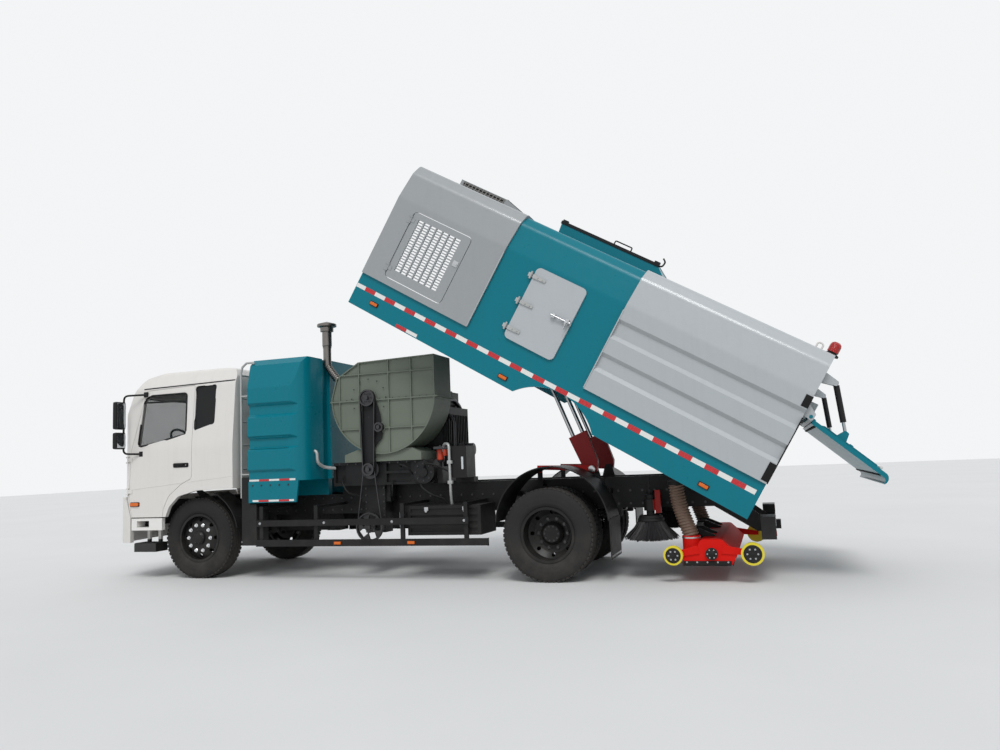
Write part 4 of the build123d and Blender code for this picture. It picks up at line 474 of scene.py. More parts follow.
class Paints(Enum):
    """Every finish on the truck, named after what it is on."""

    CAB_WHITE = CoachPaint("cab_white_paint", srgb(215, 212, 207), dust=0.12, dust_top=1.0)
    TEAL = CoachPaint("teal_body_paint", srgb(0, 112, 127), dust=0.02, dust_top=1.2, coat=0.0, roughness=0.3,
                      specular=SATIN)
    PANEL_GREY = CoachPaint("light_grey_panel_paint", srgb(168, 173, 175), dust=0.05, coat=0.3)
    HOOD_GREY = CoachPaint("mid_grey_hood_paint", srgb(146, 150, 152), dust=0.05, coat=0.3)
    VENT_GREY = Finish("vent_grey_paint", srgb(126, 124, 120), roughness=0.5, dust=0.05)
    HATCH_GREY = CoachPaint("pale_grey_hatch_paint", srgb(172, 177, 180), dust=0.05, coat=0.3)
    FAN_GREEN = Finish("grey_green_fan_paint", srgb(108, 116, 104), roughness=0.5, mottling=0.16, dust=0.1,
                       specular=0.3, dust_top=2.4, grain=40)
    CHASSIS = Satin("satin_black_chassis_paint", BLACK, roughness=0.42, mottling=0.2, dust=0.1)
    AXLE = Satin("axle_black_paint", srgb(20, 20, 21), roughness=0.5, mottling=0.25, dust=0.22, dust_top=0.9)
    TRIM = Satin("moulded_black_plastic", srgb(22, 23, 24), roughness=0.55, grain=420, grain_depth=0.0003, dust=0.08)
    GUARD = Satin("black_mudguard_plastic", srgb(24, 24, 25), roughness=0.42, grain=220, dust=0.12, dust_top=1.2)
    SEAT = Finish("grey_seat_fabric", srgb(62, 66, 72), roughness=0.9, grain=700, grain_depth=0.0006, dust=0.0)
    ENGINE = Satin("dark_engine_paint", srgb(24, 25, 27), roughness=0.48, mottling=0.3, dust=0.12, dust_top=1.6)
    RIM = Satin("black_wheel_paint", srgb(22, 22, 23), roughness=0.34, mottling=0.2, dust=0.14, dust_top=1.0)
    RED = CoachPaint("red_equipment_paint", srgb(208, 22, 14), dust=0.02, dust_top=0.5, roughness=0.62, coat=0.0,
                      specular=0.12)
    DARK_RED = CoachPaint("dark_red_hoist_paint", srgb(140, 18, 20), dust=0.05, roughness=0.4, coat=0.0, specular=0.25)
    YELLOW = Finish("yellow_caster_rubber", srgb(226, 208, 40), roughness=0.6, dust=0.14, dust_top=0.5)
    GALVANISED = Finish("light_grey_galvanised_steel", srgb(176, 178, 176), roughness=0.42, metallic=0.35,
                        mottling=0.3, dust=0.1)
    OIL_TANK = Satin("dark_tank_paint", srgb(27, 26, 27), roughness=0.42, dust=0.12)
    STEEL = BareSteel("plated_steel", srgb(196, 198, 200))
    CHROME = BareSteel("chromed_rod", srgb(176, 178, 180), roughness=0.14, dust=0.05)
    BRIGHT = BareSteel("bright_plated_nuts", srgb(238, 239, 240), roughness=0.22, dust=0.0)
    STACK = BareSteel("stack_steel", srgb(128, 124, 120), roughness=0.34, dust=0.1, mottling=0.3)
    DARK_STEEL = BareSteel("blackened_steel", srgb(78, 78, 80), roughness=0.42)
    FRONT_TYRE = Rubber("front_tyre_rubber", srgb(36, 35, 35), axle_x=at(0.0), specular=SATIN, dust=0.14, dust_top=0.7)
    REAR_TYRE = Rubber("rear_tyre_rubber", srgb(40, 39, 39), axle_x=at(WHEELBASE), specular=SATIN, dust=0.14,
                       dust_top=0.7)
    RUBBER = Rubber("black_rubber_sheet", srgb(24, 24, 24), specular=SATIN, dust=0.08)
    HOSE = Rubber("brown_grey_hose_rubber", srgb(112, 90, 76), roughness=0.5, dust=0.06)
    BRISTLE = Finish("dark_bristles", srgb(46, 44, 46), specular=0.3, roughness=0.55, dust=0.06, dust_top=0.5,
                     grain=300)
    GLASS = Glass("tinted_window_glass", srgb(24, 32, 32), alpha=0.3, specular=0.35)
    CLEAR_LENS = Lens("clear_lamp_lens", srgb(214, 220, 224))
    AMBER_LENS = Lens("amber_lamp_lens", srgb(232, 110, 14))
    RED_LENS = Lens("red_lamp_lens", srgb(176, 16, 14))
    MIRROR = BareSteel("mirror_glass", srgb(200, 205, 210), roughness=0.04, dust=0.0)
    FILTER_RED = Finish("orange_red_filter_paint", srgb(196, 62, 30), roughness=0.4)
    STEP_WHITE = Zoned("white_step_paint", srgb(226, 224, 220), roughness=0.4, dust=0.1, other=srgb(20, 20, 21),
                       low=0.2, high=0.5)
    ARM_BLACK = Zoned("brush_arm_paint", BLACK, specular=SATIN, roughness=0.45, dust=0.1, other=srgb(140, 20, 16),
                      axis=0, low=at(5.83))
    SUBFRAME = Zoned("subframe_paint", BLACK, specular=SATIN, roughness=0.42, dust=0.1, other=srgb(176, 22, 20),
                     axis=1, low=0.549, high=0.57, foot=1.19, folded=True)
    # Near-black sheets that stand in for the shade inside openings and recesses: this is painted shade, not a paint of
    # the truck.
    SHADOW = Finish("painted_shade_sheet", srgb(12, 12, 13), roughness=0.9, dust=0.0)
    HOPPER_TAPE = Tape("hopper_red_white_tape", srgb(226, 226, 222), start=at(1.71), pitch=0.30, tilt=HOPPER_TILT)
    SHORT_TAPE = Tape("short_red_white_tape", srgb(226, 226, 222), start=at(2.295), pitch=0.31, tilt=HOPPER_TILT)
    TANK_TAPE = Tape("tank_red_white_tape", srgb(226, 226, 222), start=at(0.84), pitch=0.296)

    @property
    def material(self) -> bpy.types.Material:
        """The finish's material."""
        return self.value.material()


# Mesh making


class Shape:
    """A mesh that is drawn piece by piece and then becomes one object on a body."""

    def __init__(self, turn: Matrix | None = None) -> None:
        """Starts an empty mesh, whose parts are all turned by the matrix where one is given."""
        self.mesh = bmesh.new()
        self.turn = turn

    def box(self, x: Pair, y: Pair, z: Pair, bevel: float = 0.0) -> "Shape":
        """Adds a box.

        Args:
            x: Its lowest and highest X.
            y: Its lowest and highest Y.
            z: Its lowest and highest Z.
            bevel: How far its edges are broken.

        Returns:
            This shape.
        """
        part = bmesh.new()
        bmesh.ops.create_cube(part, size=1.0)
        size = Vector((abs(x[1] - x[0]), abs(y[1] - y[0]), abs(z[1] - z[0])))
        middle = Vector((sum(x) / 2, sum(y) / 2, sum(z) / 2))
        bmesh.ops.scale(part, vec=size, verts=part.verts)
        bmesh.ops.translate(part, vec=middle, verts=part.verts)
        if bevel:
            width = min(bevel, min(size) * 0.45)
            bmesh.ops.bevel(part, geom=part.edges[:], offset=width, segments=2, profile=0.7, affect="EDGES")
        return self.join(part)

    def join(self, part: bmesh.types.BMesh, place: Matrix | None = None) -> "Shape":
        """Adds another mesh to this one, moved to its place where that is given, and frees it."""
        if self.turn is not None:
            place = self.turn if place is None else self.turn @ place
        if place is not None:
            bmesh.ops.transform(part, matrix=place, verts=part.verts)
        spare = bpy.data.meshes.new("spare")
        part.to_mesh(spare)
        part.free()
        self.mesh.from_mesh(spare)
        bpy.data.meshes.remove(spare)
        return self

    def plate(self, outline: Sequence[Pair], y0: float, y1: float, bevel: float = 0.0) -> "Shape":
        """Adds a plate whose outline is drawn in X and Z and which runs from y0 to y1."""
        part = slab([(x, y0, z) for x, z in outline], y1 - y0)
        if bevel:
            bmesh.ops.bevel(part, geom=part.edges[:], offset=bevel, segments=2, profile=0.7, affect="EDGES")
        return self.join(part)

    def lathe(self, profile: Sequence[Pair], origin: Point, axis: str = "Y", segments: int = 32) -> "Shape":
        """Adds a turned part.

        Args:
            profile: Radius and distance along the axis, from one end to the other.
            origin: Where the axis starts.
            axis: X, Y or Z, with a minus sign before it where the distance runs the other way.
            segments: How many facets go round.

        Returns:
            This shape.
        """
        part = bmesh.new()
        rings = []
        for radius, along in profile:
            ring = [part.verts.new((radius * cos(tau * k / segments), radius * sin(tau * k / segments), along))
                    for k in range(segments)] if radius > 1e-6 else [part.verts.new((0, 0, along))]
            rings.append(ring)
        for first, second in zip(rings, rings[1:]):
            for k in range(segments):
                corners = [first[k % len(first)], first[(k + 1) % len(first)],
                           second[(k + 1) % len(second)], second[k % len(second)]]
                unique = list(dict.fromkeys(corners))
                if len(unique) > 2:
                    part.faces.new(unique)
        for ring in (rings[0], rings[-1]):
            if len(ring) > 1 and profile[0] != profile[-1]:
                part.faces.new(ring)
        bmesh.ops.remove_doubles(part, verts=part.verts, dist=1e-6)
        bmesh.ops.recalc_face_normals(part, faces=part.faces)
        direction = Vector({"X": (1, 0, 0), "Y": (0, 1, 0), "Z": (0, 0, 1)}[axis[-1]])
        direction = -direction if axis.startswith("-") else direction
        place = Matrix.Translation(origin) @ direction.to_track_quat("Z", "Y").to_matrix().to_4x4()
        return self.join(part, place)

    def rod(self, start: Point, end: Point, radius: float, segments: int = 14) -> "Shape":
        """Adds a round bar between two points, with its ends slightly broken."""
        run = Vector(end) - Vector(start)
        length, edge = run.length, min(radius * 0.25, run.length * 0.2)
        profile = [(0, 0), (radius - edge, 0), (radius, edge), (radius, length - edge), (radius - edge, length),
                   (0, length)]
        part = Shape()
        part.lathe(profile, (0, 0, 0), "Z", segments)
        place = Matrix.Translation(start) @ run.to_track_quat("Z", "Y").to_matrix().to_4x4()
        return self.join(part.mesh, place)

    def hexagon(self, centre: Point, axis: str, width: float, height: float) -> "Shape":
        """Adds a bolt head or nut on its washer, standing on a face."""
        radius = width / sqrt(3)
        self.lathe([(0, 0), (radius * 1.25, 0), (radius * 1.25, height * 0.18), (0, height * 0.18)],
                   centre, axis, 16)
        return self.lathe([(0, height * 0.15), (radius, height * 0.15), (radius, height * 0.88),
                           (radius * 0.86, height), (0, height)], centre, axis, 6)

    def pipe(self, points: Sequence[Point], radius: float, bend: float = 0.06, segments: int = 12) -> "Shape":
        """Adds a bent tube.

        Args:
            points: Its corners and ends.
            radius: Its outer radius.
            bend: The radius of its bends.
            segments: How many facets go round.

        Returns:
            This shape.
        """
        path = rounded_path([Vector(point) for point in points], bend)
        part = bmesh.new()
        rings: list[list[bmesh.types.BMVert]] = []
        frame = Vector((0, 0, 1))
        for index, spot in enumerate(path):
            ahead = path[min(index + 1, len(path) - 1)] - path[max(index - 1, 0)]
            ahead.normalize()
            side = ahead.cross(frame)
            if side.length < 1e-3:
                side = ahead.cross(Vector((0, 1, 0)))
            side.normalize()
            over = side.cross(ahead)
            frame = over
            rings.append(ring_of(part, spot, side, over, radius, segments))
        return self.join(skinned(part, rings))

    def bellows(self, start: Vector, end: Vector, radius: float, depth: float, ribs: int, bow: float) -> "Shape":
        """Adds a ribbed hose.

        Args:
            start: The middle of its first end.
            end: The middle of its other end.
            radius: Its radius over the ribs.
            depth: How deep the grooves between them are.
            ribs: How many ribs it has.
            bow: How far its middle stands forward of the straight line.

        Returns:
            This shape.
        """
        part, rings = bmesh.new(), []
        run = end - start
        side = Vector((0, 1, 0))
        over = side.cross(run.normalized())
        steps = ribs * 6
        for step in range(steps + 1):
            share = step / steps
            swell = 0.5 + 0.5 * cos(tau * share * ribs)
            wide = radius - depth * swell
            middle = start + run * share + Vector((-bow * sin(pi * share) * (1.4 - 0.9 * share), 0, 0))
            rings.append(ring_of(part, middle, side, over, wide, 32))
        return self.join(skinned(part, rings))

    def made(self, name: str, finish: Paints, body: str | None, angle: float = 35.0) -> bpy.types.Object:
        """Turns the shape into an object, finished in a paint and riding on a body, or raw where it has none."""
        data = bpy.data.meshes.new(name)
        self.mesh.to_mesh(data)
        self.mesh.free()
        data.materials.append(finish.material)
        return placed(name, data, body, angle)


def slab(points: Iterable[Point], depth: float) -> bmesh.types.BMesh:
    """A flat outline and the same one that far along Y, with the skin between them."""
    part = bmesh.new()
    face = part.faces.new([part.verts.new(point) for point in points])
    moved = bmesh.ops.extrude_face_region(part, geom=[face])["geom"]
    tips = [item for item in moved if isinstance(item, bmesh.types.BMVert)]
    bmesh.ops.translate(part, vec=(0, depth, 0), verts=tips)
    bmesh.ops.recalc_face_normals(part, faces=part.faces)
    return part


def ring_of(part: bmesh.types.BMesh, middle: Vector, side: Vector, over: Vector, radius: float,
            segments: int) -> list[bmesh.types.BMVert]:
    """A ring of corners round a middle, in the plane of two directions."""
    return [part.verts.new(middle + side * radius * cos(tau * k / segments) + over * radius * sin(tau * k / segments))
            for k in range(segments)]


def skinned(part: bmesh.types.BMesh, rings: Sequence[Sequence[bmesh.types.BMVert]]) -> bmesh.types.BMesh:
    """Joins rings of equal length into a closed skin with a face over each end."""
    for first, second in zip(rings, rings[1:]):
        for k in range(len(first)):
            after = (k + 1) % len(first)
            part.faces.new((first[k], first[after], second[after], second[k]))
    part.faces.new(rings[0])
    part.faces.new(rings[-1])
    bmesh.ops.recalc_face_normals(part, faces=part.faces)
    return part


def placed(name: str, data: bpy.types.Mesh, body: str | None, angle: float) -> bpy.types.Object:
    """Makes a mesh an object.

    Args:
        name: The piece's name.
        data: Its mesh.
        body: The body that it rides on, or None while it is still raw.
        angle: Edges sharper than this many degrees stay sharp.

    Returns:
        The object.
    """
    piece = bpy.data.objects.new(name, data)
    bpy.context.scene.collection.objects.link(piece)
    data.shade_smooth()
    data.set_sharp_from_angle(angle=radians(angle))
    if body is not None:
        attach(piece, body)
        LOG.info("%s: %d faces on %s", name, len(data.polygons), body)
    return piece


def ends(side: int, low: float, high: float) -> Pair:
    """Two distances from the middle plane on one side, as the lowest and highest Y."""
    near, far = sorted((side * low, side * high))
    return near, far


def span(middle: float, half: float) -> Pair:
    """The lowest and highest value round a middle."""
    return middle - half, middle + half


def rounded_path(corners: list[Vector], bend: float, steps: int = 5) -> list[Vector]:
    """Rounds the corners of a path with short arcs.

    Args:
        corners: The path's ends and corners.
        bend: The radius of its bends.
        steps: How many points each bend has.

    Returns:
        The points of the rounded path.
    """
    path = [corners[0]]
    for before, corner, after in zip(corners, corners[1:], corners[2:]):
        inward, outward = (before - corner), (after - corner)
        reach = min(bend, inward.length * 0.45, outward.length * 0.45)
        start = corner + inward.normalized() * reach
        end = corner + outward.normalized() * reach
        for step in range(steps + 1):
            share = step / steps
            path.append(start * (1 - share) ** 2 + corner * 2 * share * (1 - share) + end * share ** 2)
    path.append(corners[-1])
    return path


def hopper_turn() -> Matrix:
    """The matrix that takes the lowered hopper to its raised place."""
    pivot = Vector((PIVOT[0], 0, PIVOT[1]))
    return Matrix.Translation(pivot) @ Matrix.Rotation(HOPPER_TILT, 4, "Y") @ Matrix.Translation(-pivot)


# What repeats


class Repeat:
    """A Geometry Nodes tree that repeats a small shape, and the plain mesh that it leaves."""

    def __init__(self, name: str, inputs: dict[str, str]) -> None:
        """Starts the tree.

        Args:
            name: The tree's name.
            inputs: Its input names and their socket types.
        """
        self.tree = bpy.data.node_groups.new(name, "GeometryNodeTree")
        self.tree.interface.new_socket("Geometry", in_out="INPUT", socket_type="NodeSocketGeometry")
        for label, kind in inputs.items():
            self.tree.interface.new_socket(label, in_out="INPUT", socket_type=kind)
        self.tree.interface.new_socket("Finish", in_out="INPUT", socket_type="NodeSocketMaterial")
        self.tree.interface.new_socket("Geometry", in_out="OUTPUT", socket_type="NodeSocketGeometry")
        self.start = self.tree.nodes.new("NodeGroupInput")
        self.graph = Graph(self.tree)

    def input(self, name: str) -> Wire:
        """One of the tree's inputs."""
        return Wire(self.graph, self.start.outputs[name])

    def close(self, **inputs: Wire) -> None:
        """Ends the tree: instances are set on points by these inputs, become real and take their finish."""
        instances = self.graph.node("GeometryNodeInstanceOnPoints", {}, inputs)
        real = self.graph.node("GeometryNodeRealizeInstances", {}, {0: instances})
        dressed = self.graph.node("GeometryNodeSetMaterial", {}, {"Geometry": real, "Material": self.input("Finish")})
        end = self.tree.nodes.new("NodeGroupOutput")
        self.tree.links.new(dressed.value, end.inputs[0])

    def run(self, source: bpy.types.Object, name: str, finish: Paints, body: str,
            values: dict[str, Any], angle: float = 35.0) -> bpy.types.Object:
        """Applies the tree to a raw shape.

        Args:
            source: The raw shape, which is removed.
            name: The new piece's name.
            finish: What it is finished in.
            body: The body that it rides on.
            values: The tree's inputs by name.
            angle: Edges sharper than this many degrees stay sharp.

        Returns:
            The new piece.
        """
        modifier = source.modifiers.new("repeat", "NODES")
        modifier.node_group = self.tree
        sockets = {item.name: item.identifier for item in self.tree.interface.items_tree
                   if item.item_type == "SOCKET" and item.in_out == "INPUT"}
        for label, value in {**values, "Finish": finish.material}.items():
            modifier[sockets[label]] = value
        graph = bpy.context.evaluated_depsgraph_get()
        graph.update()
        data = bpy.data.meshes.new_from_object(source.evaluated_get(graph))
        data.name = name
        spare = source.data
        bpy.data.objects.remove(source)
        if isinstance(spare, bpy.types.Mesh):
            bpy.data.meshes.remove(spare)
        return placed(name, data, body, angle)


class Rings(Repeat):
    """Repeats a shape round a centre, turning it by an equal step each time."""

    def __init__(self) -> None:
        """Builds the tree: Count copies turned by Turn about Centre."""
        super().__init__("Ring of pieces", {"Count": "NodeSocketInt", "Centre": "NodeSocketVector",
                                            "Turn": "NodeSocketVector"})
        graph = self.graph
        points = graph.node("GeometryNodePoints", {}, {"Count": self.input("Count"), "Position": self.input("Centre")})
        back = graph.scaled(self.input("Centre"), -1.0)
        centred = graph.node("GeometryNodeTransform", {}, {"Geometry": self.input("Geometry"), "Translation": back})
        index = graph.node("GeometryNodeInputIndex", {}, {})
        turn = graph.scaled(self.input("Turn"), index)
        self.close(Points=points, Instance=centred, Rotation=turn)


class Rows(Repeat):
    """Repeats a shape in rows and columns."""

    def __init__(self) -> None:
        """Builds the tree: Columns copies stepped by Across, in Rows stepped by Along."""
        super().__init__("Rows of pieces", {"Columns": "NodeSocketInt", "Rows": "NodeSocketInt",
                                            "Across": "NodeSocketVector", "Along": "NodeSocketVector"})
        graph = self.graph
        total = graph.node("FunctionNodeIntegerMath", {"operation": "MULTIPLY"}, {
            0: self.input("Columns"), 1: self.input("Rows")})
        points = graph.node("GeometryNodePoints", {}, {"Count": total})
        index = graph.node("GeometryNodeInputIndex", {}, {})
        column = graph.node("FunctionNodeIntegerMath", {"operation": "MODULO"}, {0: index, 1: self.input("Columns")})
        row = graph.node("FunctionNodeIntegerMath", {"operation": "DIVIDE_FLOOR"}, {
            0: index, 1: self.input("Columns")})
        across = graph.scaled(self.input("Across"), column)
        along = graph.scaled(self.input("Along"), row)
        offset = graph.node("ShaderNodeVectorMath", {"operation": "ADD"}, {0: across, 1: along})
        moved = graph.node("GeometryNodeSetPosition", {}, {"Geometry": points, "Offset": offset})
        self.close(Points=moved, Instance=self.input("Geometry"))


class Tufts(Repeat):
    """Sets bristles round a brush plate, each leaning outwards with a little disorder."""

    SEED = 11

    def __init__(self) -> None:
        """Builds the tree: Count bristles between two radii round Centre, leaning by Lean."""
        super().__init__("Brush tufts", {"Count": "NodeSocketInt", "Centre": "NodeSocketVector",
                                         "Inner": "NodeSocketFloat", "Outer": "NodeSocketFloat",
                                         "Lean": "NodeSocketFloat"})
        graph = self.graph
        index = graph.node("GeometryNodeInputIndex", {}, {})
        chance = [graph.node("FunctionNodeRandomValue", {"data_type": "FLOAT"}, {
            2: low, 3: high, "ID": index, "Seed": self.SEED + number}, 1)
            for number, (low, high) in enumerate([(0.0, 1.0), (0.0, tau), (-0.10, 0.10), (0.64, 0.74)])]
        radius = self.input("Inner") + (self.input("Outer") - self.input("Inner")) * chance[0]
        spot = graph.node("ShaderNodeCombineXYZ", {}, {
            0: radius * chance[1].apply("COSINE"), 1: radius * chance[1].apply("SINE"), 2: 0.0})
        points = graph.node("GeometryNodePoints", {}, {"Count": self.input("Count"), "Position": self.input("Centre")})
        moved = graph.node("GeometryNodeSetPosition", {}, {"Geometry": points, "Offset": spot})
        lean = self.input("Lean") * (radius / self.input("Outer")) + chance[2]
        angles = graph.node("ShaderNodeCombineXYZ", {}, {0: 0.0, 1: lean * -1.0, 2: chance[1]})
        length = graph.node("ShaderNodeCombineXYZ", {}, {0: 1.0, 1: 1.0, 2: chance[3] / lean.apply("COSINE")})
        self.close(Points=moved, Instance=self.input("Geometry"), Rotation=angles, Scale=length)


# Frame dressing


NODE_FINISHES: dict[Paints, tuple[str, ...]] = {
    Paints.CHASSIS: ("frame_rails", "side_guards", "rear_bumper", "tailgate_cylinders"),
    Paints.SUBFRAME: ("subframe",),
    Paints.ARM_BLACK: ("brush_arm_left", "brush_arm_right"),
    Paints.STEP_WHITE: ("step_panels",),
    Paints.STACK: ("precleaner_stack",),
    Paints.AXLE: ("front_axle", "rear_axle", "knuckle_left", "knuckle_right"),
    Paints.ENGINE: ("engine_block", "aux_engine"),
    Paints.CAB_WHITE: ("cab_shell", "door_left", "door_right", "front_bumper"),
    Paints.TEAL: ("water_tank", "hopper_body", "tailgate"),
    Paints.HOOD_GREY: ("hopper_hood", "louvre_door_left", "louvre_door_right"),
    Paints.PANEL_GREY: ("hopper_rear",),
    Paints.HATCH_GREY: ("hatch",),
    Paints.FAN_GREEN: ("fan_housing",),
    Paints.TRIM: ("cab_trim", "mirror_left", "mirror_right"),
    Paints.SEAT: ("cab_interior",),
    Paints.GLASS: ("cab_glass", "door_glass_left", "door_glass_right"),
    Paints.CLEAR_LENS: ("headlamps",),
    Paints.GUARD: ("mudguards",),
    Paints.RIM: ("front_rim_left", "front_rim_right", "rear_rims_left", "rear_rims_right"),
    Paints.FRONT_TYRE: ("front_tyre_left", "front_tyre_right"),
    Paints.REAR_TYRE: ("rear_tyres_left", "rear_tyres_right"),
    Paints.GALVANISED: ("ladder", "intake_duct"),
    Paints.DARK_STEEL: ("belt_drive",),
    Paints.OIL_TANK: ("side_tanks",),
    Paints.HOSE: ("suction_hoses",),
    Paints.DARK_RED: ("hoist_sleeves",),
    Paints.CHROME: ("hoist_rods", "tailgate_rods"),
    Paints.RED: ("nozzle",),
    Paints.BRISTLE: ("brush_left", "brush_right"),
    Paints.YELLOW: ("caster_front_left", "caster_front_right", "caster_rear_left", "caster_rear_right"),
}


@dataclass
class FrameFinishes:
    """Gives each CAD node the material of what it is made of."""

    nodes: dict[str, bpy.types.Object]

    def dress(self) -> None:
        """Sets every node's material, and stops where a node has none."""
        named: set[str] = set()
        for finish, names in NODE_FINISHES.items():
            for name in names:
                data = self.nodes[name].data
                data.materials.clear()
                data.materials.append(finish.material)
                named.add(name)
        missing = sorted(set(self.nodes) - named)
        if missing:
            raise ValueError(f"no finish for {missing}")
        LOG.info("dressed %d nodes", len(named))


# Helpers that pieces share


@dataclass(frozen=True)
class Surface:
    """CAD panels that a trim is laid on: rays find where their skin is."""

    nodes: tuple[bpy.types.Object, ...]

    def trees(self) -> list[BVHTree]:
        """One search tree for each panel."""
        found = []
        for node in self.nodes:
            corners = [vertex.co.copy() for vertex in node.data.vertices]
            faces = [tuple(face.vertices) for face in node.data.polygons]
            found.append(BVHTree.FromPolygons(corners, faces))
        return found

    def laid(self, starts: Iterable[Point], ahead: Point, lift: float = 0.0) -> list[Vector]:
        """Drops points onto the panels.

        Args:
            starts: Where each ray starts.
            ahead: The way that the rays run.
            lift: How far the points stand off the skin, towards the rays' start.

        Returns:
            The points on the skin, without those whose ray meets nothing.
        """
        trees, way = self.trees(), Vector(ahead).normalized()
        points = []
        for start in starts:
            hits = [tree.ray_cast(Vector(start), way, 3.0) for tree in trees]
            near = [hit for hit in hits if hit[0] is not None]
            if near:
                points.append(min(near, key=lambda hit: hit[3])[0] - way * lift)
        return points


def along_line(first: Pair, last: Pair, steps: int) -> list[Pair]:
    """Points from one to another, both counted."""
    shares = [index / (steps - 1) for index in range(steps)]
    return [(first[0] + (last[0] - first[0]) * t, first[1] + (last[1] - first[1]) * t) for t in shares]


def round_outline(corners: Sequence[Pair], bend: float, steps: int = 5) -> list[Pair]:
    """A closed outline with its corners rounded."""
    path = [Vector((x, 0, z)) for x, z in (*corners, corners[0], corners[1])]
    smooth = rounded_path(path, bend, steps)[1:-1]
    return [(point.x, point.z) for point in smooth]


def round_box(x: Pair, z: Pair, bend: float) -> list[Pair]:
    """A rectangle's outline with its corners rounded."""
    return round_outline([(x[0], z[0]), (x[1], z[0]), (x[1], z[1]), (x[0], z[1])], bend)


def dense(corners: Sequence[Pair], step: float = 0.08) -> list[Pair]:
    """A closed outline with more points on its long runs."""
    points: list[Pair] = []
    for first, last in zip(corners, (*corners[1:], corners[0])):
        length = sqrt((last[0] - first[0]) ** 2 + (last[1] - first[1]) ** 2)
        points += along_line(first, last, max(2, int(length / step) + 1))[:-1]
    return points + [points[0]]


@dataclass
class Bolts:
    """Rows and rings of bolt heads, made by the repeating trees."""

    rows: Rows
    rings: Rings

    def row(self, name: str, body: str, first: Point, step: Point, count: int, axis: str, width: float = 0.018,
            finish: Paints = Paints.DARK_STEEL, lines: int = 1, line_step: Point = STILL) -> bpy.types.Object:
        """Sets bolt heads in lines.

        Args:
            name: The piece's name.
            body: The body that it rides on.
            first: The first head's foot.
            step: From one head to the next.
            count: How many heads a line has.
            axis: The way that the heads face.
            width: Their width across flats.
            finish: Their finish.
            lines: How many lines there are.
            line_step: From one line to the next.

        Returns:
            The piece.
        """
        shape = Shape()
        shape.hexagon(first, axis, width, width * 0.62)
        return self.rows.run(shape.made(name + "_one", finish, None), name, finish, body, {
            "Columns": count, "Rows": lines, "Across": step, "Along": line_step})

    def ring(self, name: str, body: str, centre: Point, radius: float, count: int, axis: str, width: float = 0.018,
             finish: Paints = Paints.DARK_STEEL) -> bpy.types.Object:
        """Sets bolt heads in a ring round a line along Y."""
        shape = Shape()
        shape.hexagon((centre[0] + radius, centre[1], centre[2]), axis, width, width * 0.7)
        return self.rings.run(shape.made(name + "_one", finish, None), name, finish, body, {
            "Count": count, "Centre": centre, "Turn": (0.0, tau / count, 0.0)})


# Wheels


@dataclass
class Wheels:
    """Grooved tyres with lugs on their shoulders, and the wheel nuts."""

    bolts: Bolts
    front_y: float = 0.967
    rear_ys: Pair = (1.047, 0.737)
    half: float = 0.1325
    nut_circle: float = 0.1675
    front_face: float = 1.063
    rear_face: float = 0.899
    grooves: tuple[float, ...] = (0.066, 0.022, -0.022, -0.066)
    groove_half: float = 0.0045
    groove_depth: float = 0.012
    lugs: int = 60

    def profile(self, middle: float) -> list[Pair]:
        """A tyre's closed section: radius, and distance from the vehicle's middle plane."""
        half, top = self.half, TYRE_RADIUS - 0.0006
        wall = [(0.2925, half - 0.030), (0.311, half - 0.030), (0.322, half - 0.013), (0.352, half - 0.003),
                (0.40, half), (0.45, half - 0.003), (0.478, half - 0.009), (0.493, half - 0.017),
                (0.503, half - 0.034), (top - 0.002, half - 0.052)]
        crown: list[Pair] = []
        for groove in self.grooves:
            crown += [(top, groove + self.groove_half), (top - self.groove_depth, groove + self.groove_half * 0.6),
                      (top - self.groove_depth, groove - self.groove_half * 0.6), (top, groove - self.groove_half)]
        section = wall + crown + [(radius, -across) for radius, across in reversed(wall)]
        return [(radius, middle + across) for radius, across in (*section, section[0])]

    def tyre(self, name: str, body: str, node: str, station: float, middles: Sequence[float], side: int,
             finish: Paints) -> None:
        """Makes the tyres of one side of an axle, and the lugs on their shoulders."""
        shape = Shape()
        lug = Shape()
        for middle in middles:
            shape.lathe(self.profile(middle * side), (at(station), 0, TYRE_RADIUS), "Y", 72)
            for edge in (LEFT, RIGHT):
                near, far = self.half - 0.052, self.half - 0.022
                y = (middle * side + edge * near, middle * side + edge * far)
                lug.box(span(at(station), 0.019), (min(y), max(y)),
                        (2 * TYRE_RADIUS - 0.026, 2 * TYRE_RADIUS - 0.0012), 0.004)
        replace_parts(shape.made(name, finish, body, 40), node)
        raw = lug.made(name + "_lug", finish, None)
        self.bolts.rings.run(raw, name + "_tread", finish, body, {
            "Count": self.lugs, "Centre": (at(station), 0.0, TYRE_RADIUS), "Turn": (0.0, tau / self.lugs, 0.0)})

    def build(self) -> None:
        """Makes all wheels' pieces."""
        for side, word in SIDE_NAMES.items():
            axis = OUTWARD[side]
            self.tyre("tyre_front_" + word, "wheel_front_" + word, "front_tyre_" + word, 0.0, (self.front_y,), side,
                      Paints.FRONT_TYRE)
            self.tyre("tyres_rear_" + word, "wheel_rear_" + word, "rear_tyres_" + word, WHEELBASE, self.rear_ys, side,
                      Paints.REAR_TYRE)
            for label, wheel, station, y, radius, count, width, finish in (
                    ("front_wheel_nuts_", "front_", 0.0, self.front_face, self.nut_circle, 10, 0.033, Paints.BRIGHT),
                    ("rear_wheel_nuts_", "rear_", WHEELBASE, self.rear_face, self.nut_circle, 10, 0.033,
                     Paints.DARK_STEEL),
                    ("front_hub_bolts_", "front_", 0.0, self.front_face + 0.024, 0.072, 8, 0.012, Paints.DARK_STEEL),
                    ("rear_hub_bolts_", "rear_", WHEELBASE, 0.983, 0.080, 10, 0.016, Paints.DARK_STEEL)):
                self.bolts.ring(label + word, "wheel_" + wheel + word, (at(station), side * y, TYRE_RADIUS), radius,
                                count, axis, width, finish)


# Cab


